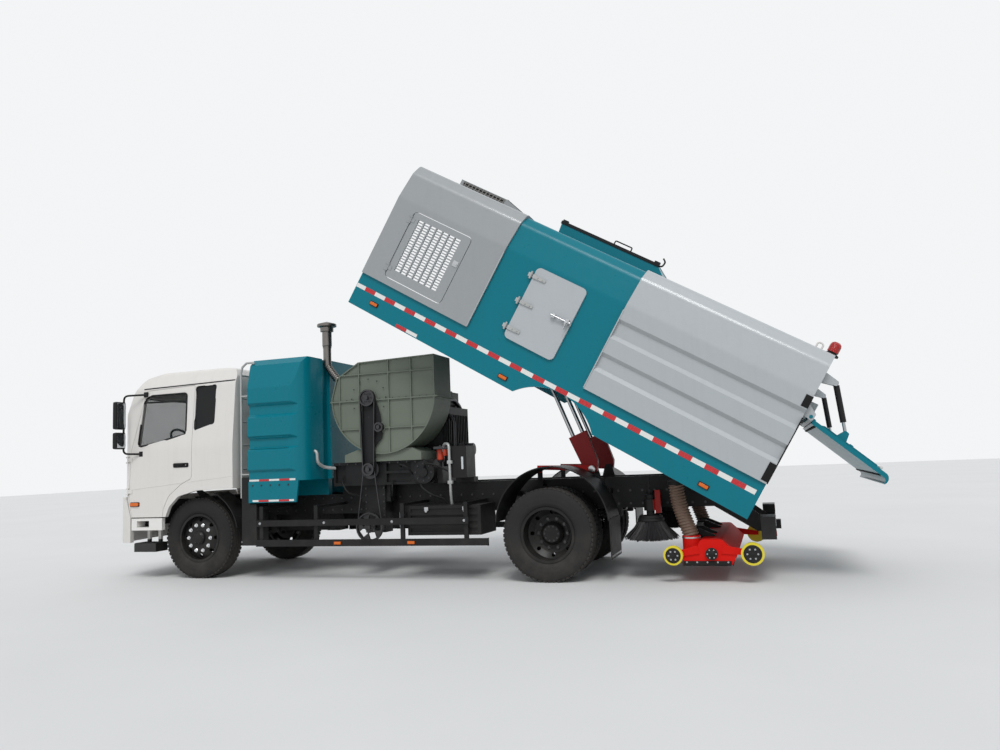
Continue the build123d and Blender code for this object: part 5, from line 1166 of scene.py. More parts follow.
@dataclass
class Cab:
    """Window rubbers, drip rails, creases, handles, lamps, mirrors, wipers and seats."""

    nodes: dict[str, bpy.types.Object]
    bolts: Bolts
    door_glass: tuple[Pair, ...] = ((-0.883, 1.721), (-0.838, 2.330), (-0.760, 2.405), (-0.139, 2.408),
                                    (-0.122, 1.863))
    quarter: tuple[Pair, ...] = ((0.008, 1.903), (0.0, 2.482), (0.318, 2.488), (0.312, 1.985))
    screen: tuple[Pair, ...] = ((-1.050, 1.665), (-0.960, 2.395), (0.960, 2.395), (1.050, 1.665))
    rubber: float = 0.011
    seat_ys: Pair = (-0.64, 0.64)
    door_face: float = 1.2
    clear: float = 1.6
    pad_steps: int = 22

    def side_line(self, surface: Surface, outline: Iterable[Pair], side: int, lift: float) -> list[Vector]:
        """Lays stations and heights on the cab's side."""
        starts = [(at(station), side * self.clear, height) for station, height in outline]
        return surface.laid(starts, (0, -side, 0), lift)

    def line(self, name: str, body: str, points: Sequence[Vector], radius: float, finish: Paints) -> None:
        """A thin moulding along points."""
        Shape().pipe([tuple(point) for point in points], radius, 0.01, 8).made(name, finish, body)

    def windows(self) -> None:
        """Black rubber round every pane, and a near-black sheet of painted shade behind each quarter pane."""
        for side, word in SIDE_NAMES.items():
            door = Surface((self.nodes["door_" + word], self.nodes["door_glass_" + word]))
            outline = dense(round_outline(self.door_glass, 0.05))
            self.line("door_window_rubber_" + word, "door_" + word, self.side_line(door, outline, side, 0.0),
                      self.rubber, Paints.TRIM)
            shell = Surface((self.nodes["cab_shell"], self.nodes["cab_trim"]))
            outline = dense(round_outline(self.quarter, 0.03))
            self.line("quarter_panel_rubber_" + word, "cab", self.side_line(shell, outline, side, 0.0), 0.006,
                      Paints.TRIM)
            glass = Surface((self.nodes["cab_shell"], self.nodes["cab_glass"]))
            # A near-black sheet laid just inside each quarter pane: painted shade standing in for the shaded cab behind
            # the glass.
            points = self.side_line(glass, round_outline(self.quarter, 0.03), side, -0.022)
            Shape().join(slab(points, -side * 0.004)).made("quarter_painted_shade_" + word, Paints.SHADOW, "cab")
        shell = Surface((self.nodes["cab_shell"], self.nodes["cab_glass"]))
        outline = dense(round_outline(self.screen, 0.09), 0.1)
        starts = [(at(-self.clear), y, z) for y, z in outline]
        self.line("windscreen_rubber", "cab", shell.laid(starts, (1, 0, 0), 0.0), 0.013, Paints.TRIM)

    def wipers(self) -> None:
        """Two arms with their blades, parked along the foot of the windscreen."""
        glass = Surface((self.nodes["cab_glass"], self.nodes["cab_shell"]))
        shape = Shape()
        for foot, tip in (((-0.62, 1.640), (0.10, 1.775)), ((0.18, 1.640), (0.90, 1.755))):
            path = along_line(foot, tip, 7)
            arm = glass.laid([(at(-self.clear), y, z) for y, z in path], (1, 0, 0), 0.022)
            shape.pipe([tuple(point) for point in arm], 0.007, 0.02, 8)
            blade = [(y, z + 0.012) for y, z in along_line((foot[0] + 0.16, foot[1] + 0.035), tip, 6)]
            rubber = glass.laid([(at(-self.clear), y, z) for y, z in blade], (1, 0, 0), 0.008)
            shape.pipe([tuple(point) for point in rubber], 0.006, 0.02, 6)
            shape.lathe([(0, -0.03), (0.022, -0.03), (0.022, 0.018), (0.014, 0.03), (0, 0.03)], tuple(arm[0]), "-X", 16)
        shape.made("wipers", Paints.TRIM, "cab")

    def creases(self) -> None:
        """The drip rail over the doors and the crease along the cab's side."""
        for side, word in SIDE_NAMES.items():
            shell = Surface((self.nodes["cab_shell"], self.nodes["door_" + word]))
            rail = along_line((-0.845, 2.500), (0.600, 2.532), 14)
            self.line("drip_rail_" + word, "cab", self.side_line(shell, rail, side, 0.001), 0.008, Paints.TRIM)
            crease = along_line((-0.98, 1.166), (-0.16, 1.234), 9)
            self.line("door_crease_" + word, "door_" + word, self.side_line(shell, crease, side, -0.001), 0.005,
                      Paints.CAB_WHITE)
            crease = along_line((-0.085, 1.241), (0.59, 1.296), 8)
            self.line("cab_crease_" + word, "cab", self.side_line(shell, crease, side, -0.001), 0.005,
                      Paints.CAB_WHITE)

    def fittings(self) -> None:
        """Door handles, locks, side lamps, and the bars of the step, with a near-black sheet of painted shade at the
        back of its recess.
        """
        for side, word in SIDE_NAMES.items():
            face = side * self.door_face
            out = OUTWARD[side]
            def ys(low: float, high: float) -> Pair:
                """Depths from the door's face, outwards."""
                return ends(side, self.door_face + low, self.door_face + high)
            shape = Shape()
            shape.plate(round_box(xs(-0.305, -0.065), (1.432, 1.490), 0.02), *ys(-0.003, 0.006))
            shape.plate(round_box(xs(-0.292, -0.135), (1.462, 1.484), 0.008), *ys(0.005, 0.024), bevel=0.003)
            shape.lathe([(0, 0), (0.014, 0), (0.014, 0.009), (0.011, 0.012), (0, 0.012)],
                        (at(-0.095), face + side * 0.004, 1.461), out, 18)
            shape.made("door_handle_" + word, Paints.TRIM, "door_" + word)
            Shape().lathe([(0, 0), (0.006, 0), (0.006, 0.004), (0, 0.004)], (at(-0.095), face + side * 0.0155, 1.461),
                          out, 14).made("door_lock_" + word, Paints.STEEL, "door_" + word)
            lamp = Shape()
            lamp.plate(round_box(xs(-0.990, -0.860), (0.948, 0.992), 0.012), *ys(0.004, 0.022), bevel=0.005)
            lamp.made("door_side_lamp_" + word, Paints.AMBER_LENS, "door_" + word)
            seat = Shape()
            seat.plate(round_box(xs(-1.0, -0.850), (0.940, 1.0), 0.014), *ys(-0.003, 0.006), bevel=0.002)
            seat.made("door_lamp_seat_" + word, Paints.TRIM, "door_" + word)
            step = Shape()
            for index in range(9):
                x = at(-0.94 + index * 0.04)
                step.box((x, x + 0.018), ends(side, 0.97, 1.172), (0.459, 0.466), 0.002)
            step.made("step_tread_bars_" + word, Paints.DARK_STEEL, "chassis")
            # A near-black sheet at the back of the step's recess: painted shade.
            recess_shade = Shape()
            recess_shade.box(xs(-0.898, -0.702), ends(side, 1.038, 1.046), (0.670, 0.750), 0.002)
            recess_shade.made("step_recess_painted_shade_" + word, Paints.SHADOW, "chassis")

    def mirrors(self) -> None:
        """Tall slim rounded mirrors with their tubular arms, in place of the plain ones."""
        for side, word in SIDE_NAMES.items():
            shape, glass = Shape(), Shape()
            near, far = 1.296, 1.466
            y = ends(side, near, far)
            for low, high in ((1.962, 2.328), (1.702, 1.923)):
                shape.box(xs(-1.060, -0.992), y, (low, high), 0.032)
                glass.box(xs(-0.9935, -0.9895), (y[0] + 0.018, y[1] - 0.018), (low + 0.018, high - 0.018), 0.002)
            bar = side * 1.300
            shape.pipe([(at(-0.80), side * 1.150, 2.425), (at(-1.028), bar, 2.412), (at(-1.030), bar, 1.640),
                        (at(-0.833), side * 1.196, 1.632)], 0.013, 0.06)
            for height in (2.26, 2.02, 1.86, 1.76):
                shape.box(xs(-1.045, -1.010), ends(side, 1.284, 1.318),
                          span(height, 0.018), 0.005)
            for place in ((at(-0.80), side * 1.150, 2.425), (at(-0.833), side * 1.192, 1.632)):
                shape.box(span(place[0], 0.03), span(place[1], 0.012),
                          span(place[2], 0.035), 0.008)
            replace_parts(shape.made("mirror_pair_" + word, Paints.TRIM, "door_" + word, 50), "mirror_" + word)
            glass.made("mirror_faces_" + word, Paints.MIRROR, "door_" + word)

    def pad(self, size: Point, crown: float, channels: int, turn: Matrix) -> Shape:
        """A crowned cushion with sewn channels.

        Args:
            size: Its length, width and thickness.
            crown: How far its top swells.
            channels: How many channels run across it.
            turn: Where it lies.

        Returns:
            The shape.
        """
        part, steps = bmesh.new(), self.pad_steps
        length, width, thick = size
        layers = []
        for top in (False, True):
            grid = []
            for i in range(steps + 1):
                row = []
                for j in range(steps + 1):
                    u, v = 2 * i / steps - 1, 2 * j / steps - 1
                    swell = (1 - u ** 6) * (1 - v ** 6)
                    channel = 0.021 * abs(sin(pi * (u + 1) / 2 * channels)) ** 0.5 - 0.010 if channels else 0.0
                    pull = 1 - 0.03 * (1 - abs(u) ** 2) * abs(v) ** 8
                    height = thick * 0.5 + (crown + channel) * swell if top else -thick * 0.5
                    row.append(part.verts.new((u * length / 2, v * width / 2 * pull, height)))
                grid.append(row)
            layers.append(grid)
        for grid in layers:
            for i in range(steps):
                for j in range(steps):
                    part.faces.new((grid[i][j], grid[i + 1][j], grid[i + 1][j + 1], grid[i][j + 1]))
        low, high = layers
        for k in range(steps):
            for i, j, di, dj in ((k, 0, 1, 0), (k, steps, 1, 0), (0, k, 0, 1), (steps, k, 0, 1)):
                part.faces.new((low[i][j], low[i + di][j + dj], high[i + di][j + dj], high[i][j]))
        bmesh.ops.recalc_face_normals(part, faces=part.faces)
        return Shape(turn).join(part)

    def seats(self) -> None:
        """Cushions, backs and headrests of both seats."""
        floor = 1.198
        for y, word in zip(self.seat_ys, ("left", "right")):
            flat = Matrix.Translation((at(-0.005), y, floor + 0.326))
            lean = Matrix.Translation((at(0.307), y, 1.883)) @ Matrix.Rotation(radians(-79.0), 4, "Y")
            head = Matrix.Translation((at(0.377), y, 2.262)) @ Matrix.Rotation(radians(-83.0), 4, "Y")
            for label, size, crown, channels, turn in (
                    ("cushion", (0.54, 0.50, 0.148), 0.014, 5, flat), ("back", (0.64, 0.48, 0.152), 0.014, 6, lean),
                    ("headrest", (0.19, 0.28, 0.095), 0.010, 0, head)):
                piece = self.pad(size, crown, channels, turn).made(f"seat_{label}_{word}", Paints.SEAT, "cab", 60)

    def build(self) -> None:
        """Makes all of the cab's pieces."""
        self.windows()
        self.wipers()
        self.creases()
        self.fittings()
        self.mirrors()
        self.seats()


# Water tank


@dataclass
class Tank:
    """Tape, foot bolts, seams and lid of the water tank."""

    bolts: Bolts

    def build(self) -> None:
        """Makes all of the tank's pieces."""
        for side, word in SIDE_NAMES.items():
            out = OUTWARD[side]
            tape = Shape()
            for x0, x1, z0, z1, face in ((0.845, 1.515, 1.216, 1.240, 1.172), (0.90, 1.50, 0.962, 0.985, 1.185)):
                tape.box(xs(x0, x1), ends(side, face - 0.001, face + 0.0025), (z0, z1))
            tape.made("tank_tape_" + word, Paints.TANK_TAPE, "chassis")
            self.bolts.row("tank_foot_bolts_" + word, "chassis", (at(0.90), side * 1.185, 1.165), (0.13, 0, 0), 5, out,
                           0.016)
            seam = Shape()
            for z in (1.345, 1.625, 1.765, 2.035, 2.185):
                face = 1.199 if z in (1.625, 1.765) else 1.186
                y = ends(side, face - 0.018, face - 0.010)
                seam.box(xs(0.86, 1.42), y, span(z, 0.003))
            seam.made("tank_seams_" + word, Paints.TEAL, "chassis")
        lid = Shape()
        lid.lathe([(0, 0.0), (0.235, 0.0), (0.235, 0.03), (0.25, 0.034), (0.25, 0.05), (0.10, 0.068), (0, 0.07)],
                  (at(1.15), 0, 2.763), "Z", 40)
        lid.rod((at(1.36), -0.05, 2.80), (at(1.36), 0.05, 2.80), 0.018)
        lid.box(xs(1.33, 1.42), (-0.03, 0.03), (2.765, 2.80), 0.005)
        lid.pipe([(at(0.98), -0.06, 2.81), (at(0.94), -0.06, 2.84), (at(0.94), 0.06, 2.84), (at(0.98), 0.06, 2.81)],
                 0.008, 0.02)
        lid.made("tank_lid", Paints.TEAL, "chassis")


# Machinery behind the tank


@dataclass
class Machinery:
    """Bolts, filters and pipes of the fan set, and the dressing of the tanks beside the frame."""

    bolts: Bolts
    face: float = -0.767

    def pipes(self) -> None:
        """Light grey and black hard pipes between the machines, fixed at both ends."""
        grey = Shape()
        grey.pipe([(at(3.27), -0.62, 1.50), (at(3.33), -0.74, 1.585), (at(3.43), -0.825, 1.58),
                   (at(3.435), -0.825, 0.98), (at(3.435), -0.80, 0.855)], 0.017, 0.08)
        grey.pipe([(at(1.56), -0.92, 1.57), (at(1.668), -0.92, 1.57), (at(1.675), -0.92, 1.42),
                   (at(1.69), -0.80, 1.36), (at(1.79), -0.68, 1.34)], 0.021, 0.05)
        for height in (1.36, 1.12):
            grey.box(xs(3.405, 3.465), (-0.842, -0.795), span(height, 0.02), 0.004)
        grey.made("grey_pipes", Paints.GALVANISED, "chassis")
        black = Shape()
        # each corner: station, across, height
        for route in (
                ((3.06, -0.76, 1.29), (3.12, -0.83, 1.36), (3.24, -0.83, 1.34), (3.36, -0.78, 1.27),
                 (3.42, -0.78, 1.24)),
                ((3.00, -0.70, 1.16), (3.02, -0.78, 1.08), (3.16, -0.80, 0.98), (3.30, -0.72, 0.92),
                 (3.34, -0.70, 0.858)),
                ((2.72, -0.68, 1.33), (2.74, -0.80, 1.36), (2.86, -0.82, 1.33), (2.90, -0.74, 1.24),
                 (2.91, -0.67, 1.20)),
                ((1.90, -0.67, 1.22), (1.93, -0.77, 1.16), (2.02, -0.78, 1.02), (2.14, -0.66, 0.98)),
                ((2.60, -0.66, 1.16), (2.63, -0.76, 1.10), (2.62, -0.74, 0.98), (2.52, -0.60, 0.97))):
            black.pipe([(at(x), y, z) for x, y, z in route], 0.011, 0.06, 10)
        black.made("black_pipes", Paints.TRIM, "chassis")

    def stack(self) -> None:
        """The precleaner's stack, and the ribbed hose from its foot to the fan."""
        pipe = Shape()
        foot = Vector((at(1.665), -0.62, 2.68))
        pipe.lathe([(0.0, 0.0), (0.052, 0.0), (0.052, 0.255), (0.062, 0.262), (0.062, 0.45), (0.086, 0.455),
                    (0.086, 0.506), (0.104, 0.512), (0.126, 0.520), (0.126, 0.548), (0.120, 0.555), (0.0, 0.590)],
                   tuple(foot), "Z", 40)
        for height in (0.02, 0.235):
            pipe.lathe([(0.050, height), (0.057, height), (0.057, height + 0.018), (0.050, height + 0.018)],
                       tuple(foot), "Z", 40)
        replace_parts(pipe.made("stack_pipe", Paints.STACK, "chassis"), "precleaner_stack")
        hose = Shape()
        hose.bellows(foot + Vector((0, 0, 0.01)), Vector((at(1.945), -0.59, 2.335)), 0.052, 0.007, 17, 0.02)
        hose.made("stack_hose", Paints.STACK, "chassis", 70)

    def filters(self) -> None:
        """The two orange-red filter bowls and their heads."""
        bowl = Shape()
        for x, y, radius, low, high in ((3.225, -0.60, 0.047, 1.385, 1.525), (3.315, -0.66, 0.034, 1.44, 1.52)):
            bowl.lathe([(0, low), (radius * 0.8, low), (radius, low + 0.012), (radius, high - 0.01),
                        (radius * 0.9, high), (0, high)], (at(x), y, 0), "Z", 28)
        bowl.made("filter_bowls", Paints.FILTER_RED, "chassis")
        head = Shape()
        head.box(xs(3.17, 3.35), (-0.70, -0.56), (1.523, 1.556), 0.008)
        head.box(xs(3.34, 3.41), (-0.68, -0.58), (1.50, 1.54), 0.006)
        head.hexagon((at(3.225), -0.60, 1.556), "Z", 0.03, 0.018)
        head.hexagon((at(3.315), -0.66, 1.556), "Z", 0.024, 0.016)
        head.made("filter_heads", Paints.DARK_STEEL, "chassis")

    def fan(self) -> None:
        """Bolts of the fan casing, its flange and the machine bed, and the guard of the belts."""
        plate = Shape()
        plate.plate(round_outline([(at(2.255), 1.24), (at(2.255), 2.26), (at(2.415), 2.26), (at(2.50), 1.98),
                                   (at(2.52), 1.70), (at(2.415), 1.60), (at(2.415), 1.24)], 0.04), -0.767, -0.775,
                    bevel=0.002)
        plate.plate([(at(2.25), 1.26), (at(2.262), 1.26), (at(2.262), 2.24), (at(2.25), 2.24)], -0.790, -0.768)
        plate.made("belt_plate", Paints.ENGINE, "chassis")
        self.bolts.row("fan_flange_bolts", "chassis", (at(1.83), -0.757, 2.189), (0.0925, 0, 0), 16, "Z", 0.013)
        self.bolts.row("machine_bed_bolts", "chassis", (at(1.86), -0.690, 1.385), (0.118, 0, 0), 11, "-Y", 0.018)
        self.bolts.row("casing_bolts", "chassis", (at(2.205), -0.640, 0.56), (0, 0, 0.085), 7, "-Y", 0.018,
                       lines=2, line_step=(0.25, 0, 0))
        self.bolts.ring("fan_pulley_bolts", "chassis", (at(2.335), -0.843, 2.205), 0.055, 6, "-Y", 0.016)
        self.bolts.ring("lower_pulley_bolts", "chassis", (at(2.33), -0.827, 0.60), 0.045, 5, "-Y", 0.016)
        self.bolts.ring("drum_bolts", "chassis", (at(3.06), -0.765, 1.25), 0.105, 8, "-Y", 0.018)
        self.bolts.ring("fan_rim_bolts", "chassis", (at(2.335), self.face, 2.205), 0.24, 12, "-Y", 0.012)

    def engine(self) -> None:
        """Fins, covers, pipes and a radiator grille on the fan's engine."""
        fin = Shape()
        fin.box(xs(3.160, 3.176), (-0.165, -0.151), (1.26, 1.98), 0.003)
        self.bolts.rows.run(fin.made("engine_fin", Paints.ENGINE, None), "engine_rear_fins", Paints.ENGINE, "chassis", {
            "Columns": 12, "Rows": 1, "Across": (0.0, 0.06, 0.0), "Along": STILL})
        cover = Shape()
        cover.box(xs(2.40, 3.00), (-0.06, 0.42), (2.296, 2.328), 0.012)
        cover.lathe([(0, 0), (0.045, 0), (0.045, 0.03), (0.034, 0.04), (0, 0.04)], (at(2.56), 0.18, 2.325), "Z", 24)
        cover.box(xs(2.30, 3.10), (-0.216, -0.198), (1.60, 2.02), 0.008)
        cover.box(xs(3.055, 3.085), (-0.05, 0.40), (2.12, 2.27), 0.008)
        cover.made("engine_covers", Paints.ENGINE, "chassis")
        pipes = Shape()
        pipes.pipe([(at(3.10), -0.10, 2.06), (at(3.10), -0.10, 2.17), (at(3.10), 0.20, 2.20), (at(3.10), 0.42, 2.10),
                    (at(3.14), 0.42, 1.90)], 0.030, 0.07)
        pipes.pipe([(at(3.17), -0.12, 1.40), (at(3.23), -0.14, 1.40), (at(3.23), -0.14, 1.90), (at(3.12), -0.14, 2.02),
                    (at(3.04), -0.13, 2.12)], 0.022, 0.05)
        pipes.lathe([(0, 0), (0.075, 0), (0.085, 0.01), (0.085, 0.15), (0.075, 0.16), (0, 0.16)],
                    (at(3.175), 0.30, 1.52), "X", 28)
        pipes.made("engine_pipes", Paints.DARK_STEEL, "chassis")
        grille = Shape()
        for low, high in ((1.24, 1.27), (1.99, 2.02)):
            grille.box(xs(2.32, 3.08), (0.558, 0.588), (low, high), 0.004)
        for x in (2.32, 3.05):
            grille.box(xs(x, x + 0.03), (0.558, 0.588), (1.24, 2.02), 0.004)
        grille.made("radiator_frame", Paints.ENGINE, "chassis")
        slat = Shape()
        slat.box(xs(2.34, 3.06), (0.560, 0.584), (1.280, 1.2845), 0.001)
        self.bolts.rows.run(slat.made("radiator_slat", Paints.DARK_STEEL, None), "radiator_slats", Paints.DARK_STEEL,
                            "chassis", {"Columns": 1, "Rows": 28, "Across": STILL,
                                        "Along": (0.0, 0.0, 0.0252)})

    def tanks(self) -> None:
        """Straps, caps and catches on the oil tank, fuel tank, battery box and locker."""
        straps = Shape()
        for x in (2.10, 2.70):
            straps.plate(round_outline([(at(x) - 0.02, 0.476), (at(x) + 0.02, 0.476), (at(x) + 0.02, 0.964),
                                        (at(x) - 0.02, 0.964)], 0.004), 0.558, 1.084)
        straps.made("fuel_tank_straps", Paints.STEEL, "chassis")
        caps = Shape()
        caps.lathe([(0, 0), (0.05, 0), (0.05, 0.02), (0.043, 0.03), (0, 0.032)], (at(2.40), 0.95, 0.955), "Z", 28)
        caps.lathe([(0, 0), (0.036, 0), (0.036, 0.024), (0.028, 0.034), (0, 0.034)], (at(3.52), -0.65, 1.548), "Z", 24)
        caps.made("tank_caps", Paints.TRIM, "chassis")
        Shape().plate(round_box(xs(3.575, 3.600), (1.27, 1.42), 0.01),
                      -0.806, -0.797).made("oil_sight_glass", Paints.CLEAR_LENS, "chassis")
        catches = Shape()
        for x in (3.20, 3.68):
            catches.box(xs(x, x + 0.05), (-1.092, -1.078), (0.80, 0.845), 0.004)
            catches.box(xs(x + 0.012, x + 0.038), (-1.102, -1.090), (0.785, 0.815), 0.003)
        for x in (1.22, 1.47):
            catches.box(xs(x, x + 0.05), (1.078, 1.092), (0.83, 0.875), 0.004)
        catches.made("box_catches", Paints.STEEL, "chassis")
        Shape().box(xs(1.09, 1.65), (0.612, 1.088), (0.868, 0.912), 0.01).made("battery_lid", Paints.TRIM, "chassis")

    def build(self) -> None:
        """Makes all of the machinery's pieces."""
        self.pipes()
        self.stack()
        self.filters()
        self.fan()
        self.engine()
        self.tanks()


# Chassis


@dataclass
class Chassis:
    """Frame bolts, guard lamps, tail lamps, plates and the hoist's pin caps."""

    bolts: Bolts
    rear: float = 7.095

    def build(self) -> None:
        """Makes all of the chassis pieces."""
        for side, word in SIDE_NAMES.items():
            out = OUTWARD[side]
            self.bolts.row("frame_bolts_" + word, "chassis", (at(0.62), side * 0.430, 0.80), (0.14, 0, 0), 42, out,
                           0.020, lines=2, line_step=(0, 0, 0.15))
            self.bolts.row("guard_bolts_" + word, "chassis", (at(1.0), side * 1.180, 0.692), (0.91, 0, 0), 4, out,
                           0.022, Paints.STEEL)
            lamps = Shape()
            for station in (2.05, 3.02):
                lamps.box(xs(station, station + 0.09), ends(side, 1.178, 1.196),
                          (0.432, 0.466), 0.006)
            lamps.made("guard_lamps_" + word, Paints.AMBER_LENS, "chassis")
            caps = Shape()
            for station, low, high in ((0.943, 0.652, 0.733), (3.776, 0.652, 0.733), (0.943, 0.407, 0.493),
                                       (4.006, 0.407, 0.493)):
                caps.box(xs(station, station + 0.008), ends(side, 1.147, 1.183), (low, high),
                         0.003)
            caps.made("guard_end_caps_" + word, Paints.TRIM, "chassis")
            x = at(self.rear)
            for label, y0, y1, finish in (("stop", 0.852, 0.958, Paints.RED_LENS), ("turn", 0.962, 1.048,
                                          Paints.AMBER_LENS), ("reverse", 1.052, 1.128, Paints.CLEAR_LENS)):
                lens = Shape()
                lens.box((x - 0.011, x + 0.002), ends(side, y0, y1), (0.578, 0.652), 0.005)
                lens.made(f"tail_lamp_{label}_{word}", finish, "chassis")
            reflector = Shape()
            reflector.box((x - 0.001, x + 0.004), ends(side, 0.90, 1.08), (0.478, 0.520), 0.002)
            reflector.made("rear_reflector_" + word, Paints.RED_LENS, "chassis")
            flap = Shape()
            flap.box(xs(5.406, 5.412), ends(side, 0.60, 1.145), (0.27, 0.29), 0.002)
            flap.made("flap_weight_" + word, Paints.STEEL, "chassis")
            self.hoist(side, word)
        plate = Shape()
        plate.box((at(self.rear) - 0.001, at(self.rear) + 0.003), (0.22, 0.74), (0.452, 0.558), 0.002)
        plate.made("rear_plate_bare", Paints.CAB_WHITE, "chassis")

    def hoist(self, side: int, word: str) -> None:
        """The cap of a hoist leg's pin."""
        pin = Shape()
        out = OUTWARD[side]
        pin.lathe([(0, 0), (0.040, 0), (0.040, 0.012), (0.030, 0.018), (0, 0.018)],
                  (at(5.11), side * 0.566, 1.215), out, 24)
        pin.made("hoist_pin_cap_" + word, Paints.STEEL, "chassis")


# Hopper


@dataclass
class Hopper:
    """Tape, lamps, louvre slats, latches, roof fittings and rubbers, drawn lowered and turned with it."""

    bolts: Bolts
    turn: Matrix = field(default_factory=hopper_turn)

    def sides(self) -> None:
        """Tape along the skirt, marker lamps, rear rubbers and the panel joints' mouldings."""
        for side, word in SIDE_NAMES.items():
            tape = Shape(self.turn)
            tape.plate([(at(1.73), 1.152), (at(6.92), 1.190), (at(6.92), 1.244), (at(1.73), 1.202)], side * 1.219,
                       side * 1.2225)
            tape.made("hopper_tape_" + word, Paints.HOPPER_TAPE, "hopper")
            tape = Shape(self.turn)
            tape.plate([(at(2.45), 0.944), (at(2.76), 0.946), (at(2.76), 0.986), (at(2.45), 0.984)], side * 1.219,
                       side * 1.2225)
            tape.made("short_tape_" + word, Paints.SHORT_TAPE, "hopper")
            amber, seat = Shape(self.turn), Shape(self.turn)
            for station, height in ((2.06, 1.060), (3.95, 1.025), (6.44, 1.025)):
                amber.box(xs(station - 0.05, station + 0.05), ends(side, 1.224, 1.240),
                          span(height, 0.018), 0.006)
                seat.box(xs(station - 0.06, station + 0.06), ends(side, 1.218, 1.227),
                         span(height, 0.026), 0.003)
            amber.made("hopper_marker_lamps_" + word, Paints.AMBER_LENS, "hopper")
            seat.made("hopper_lamp_seats_" + word, Paints.TRIM, "hopper")
            rubber = Shape(self.turn)
            rubber.box(xs(6.968, 6.982), ends(side, 1.185, 1.244), (1.345, 2.10), 0.004)
            rubber.box(xs(6.90, 6.975), ends(side, 1.243, 1.249), (1.36, 1.56), 0.002)
            rubber.box(xs(6.90, 6.975), ends(side, 1.243, 1.249), (2.20, 2.33), 0.002)
            rubber.made("hopper_rear_rubbers_" + word, Paints.RUBBER, "hopper")
            edge = Shape(self.turn)
            edge.box(xs(4.836, 4.850), ends(side, 1.240, 1.250), (1.352, 2.30), 0.003)
            edge.box(xs(3.274, 3.286), ends(side, 1.238, 1.249), (1.352, 2.30), 0.003)
            edge.made("hopper_panel_edges_" + word, Paints.PANEL_GREY, "hopper")

    def louvres(self) -> None:
        """Slats between the bars of both vented doors, with their latches."""
        left, right, low, high = 2.105, 2.735, 1.535, 2.215
        rise = (high - low) / 10
        for side, word in SIDE_NAMES.items():
            slat = Shape(self.turn)
            slat.box(xs(left, right), ends(side, 1.225, 1.2435), (low + rise / 2 - 0.007, low + rise / 2 + 0.007),
                     0.003)
            raw = slat.made("louvre_slat_" + word, Paints.HOOD_GREY, None)
            self.bolts.rows.run(raw, "louvre_slats_" + word, Paints.HOOD_GREY, "louvre_door_" + word, {
                "Columns": 1, "Rows": 10, "Across": STILL,
                "Along": tuple(self.turn.to_3x3() @ Vector((0, 0, rise)))})
            latch = Shape(self.turn)
            latch.box(xs(2.765, 2.835), ends(side, 1.244, 1.252), (1.895, 1.965), 0.004)
            latch.box(xs(2.775, 2.825), ends(side, 1.250, 1.262), (1.915, 1.932), 0.004)
            latch.made("louvre_latch_" + word, Paints.STEEL, "louvre_door_" + word)

    def hatch(self) -> None:
        """Hinge straps, lever and clamp of the inspection hatch."""
        strap, hinge = Shape(self.turn), Shape(self.turn)
        for height in (1.560, 1.880, 2.200):
            strap.plate(round_outline([(at(3.74), height - 0.024), (at(3.90), height - 0.016),
                                       (at(3.90), height + 0.016), (at(3.74), height + 0.024)], 0.008),
                        -1.2535, -1.2585)
            hinge.box(xs(3.670, 3.722), (-1.2535, -1.2195), span(height, 0.024), 0.006)
            hinge.rod((at(3.706), -1.256, height - 0.045), (at(3.706), -1.256, height + 0.045), 0.012, 14)
            for x in (3.80, 3.86):
                strap.hexagon((at(x), -1.2585, height), "-Y", 0.014, 0.009)
        strap.made("hatch_straps", Paints.GALVANISED, "hatch")
        hinge.made("hatch_hinge_blocks", Paints.GALVANISED, "hopper")
        lever = Shape(self.turn)
        lever.rod((at(4.13), -1.277, 1.900), (at(4.385), -1.277, 1.902), 0.011, 12)
        lever.box(xs(4.15, 4.19), (-1.284, -1.243), (1.875, 1.925), 0.006)
        lever.box(xs(4.32, 4.365), (-1.290, -1.243), (1.868, 1.934), 0.006)
        lever.pipe([(at(4.345), -1.285, 1.90), (at(4.345), -1.305, 1.90), (at(4.345), -1.305, 1.81)], 0.008, 0.01, 10)
        lever.made("hatch_lever", Paints.STEEL, "hatch")

    def roof(self) -> None:
        """Vent lattice over near-black sheets of painted shade, roof box rim and handles, beacon and lifting eyes."""
        # Near-black sheets behind the vent lattice: painted shade in place of the vent's dark inside.
        mesh, lattice = Shape(self.turn), Shape(self.turn)
        for side in (LEFT, RIGHT):
            mesh.plate([(at(2.045), 2.838), (at(2.045), 2.950), (at(2.66), 2.950), (at(2.66), 2.838)], side * 0.498,
                       side * 0.5025)
            for index in range(12):
                x = 2.05 + index * 0.053
                lattice.plate([(at(x), 2.838), (at(x + 0.014), 2.838), (at(x + 0.038), 2.950), (at(x + 0.024), 2.950)],
                              side * 0.500, side * 0.508)
            for height in (2.838, 2.866, 2.900, 2.934):
                lattice.box(xs(2.04, 2.67), ends(side, 0.498, 0.506), (height, height + 0.010), 0.002)
        mesh.made("roof_vent_painted_shade", Paints.SHADOW, "hopper")
        lattice.made("roof_vent_lattice", Paints.VENT_GREY, "hopper")
        tail = Shape(self.turn)
        tail.plate([(at(2.69), 2.9615), (at(3.195), 2.8265), (at(3.195), 2.8325), (at(2.69), 2.9675)], -0.49, 0.49)
        tail.made("roof_vent_tail", Paints.TRIM, "hopper")
        rim = Shape(self.turn)
        for y in (-0.617, 0.605):
            rim.box(xs(3.515, 4.795), (y, y + 0.012), (2.955, 2.992), 0.003)
        for x in (3.510, 4.785):
            rim.box(xs(x, x + 0.012), (-0.615, 0.615), (2.955, 2.992), 0.003)
        rim.pipe([(at(4.22), -0.59, 2.985), (at(4.22), -0.59, 3.035), (at(4.44), -0.59, 3.035),
                  (at(4.44), -0.59, 2.985)], 0.008, 0.015, 10)
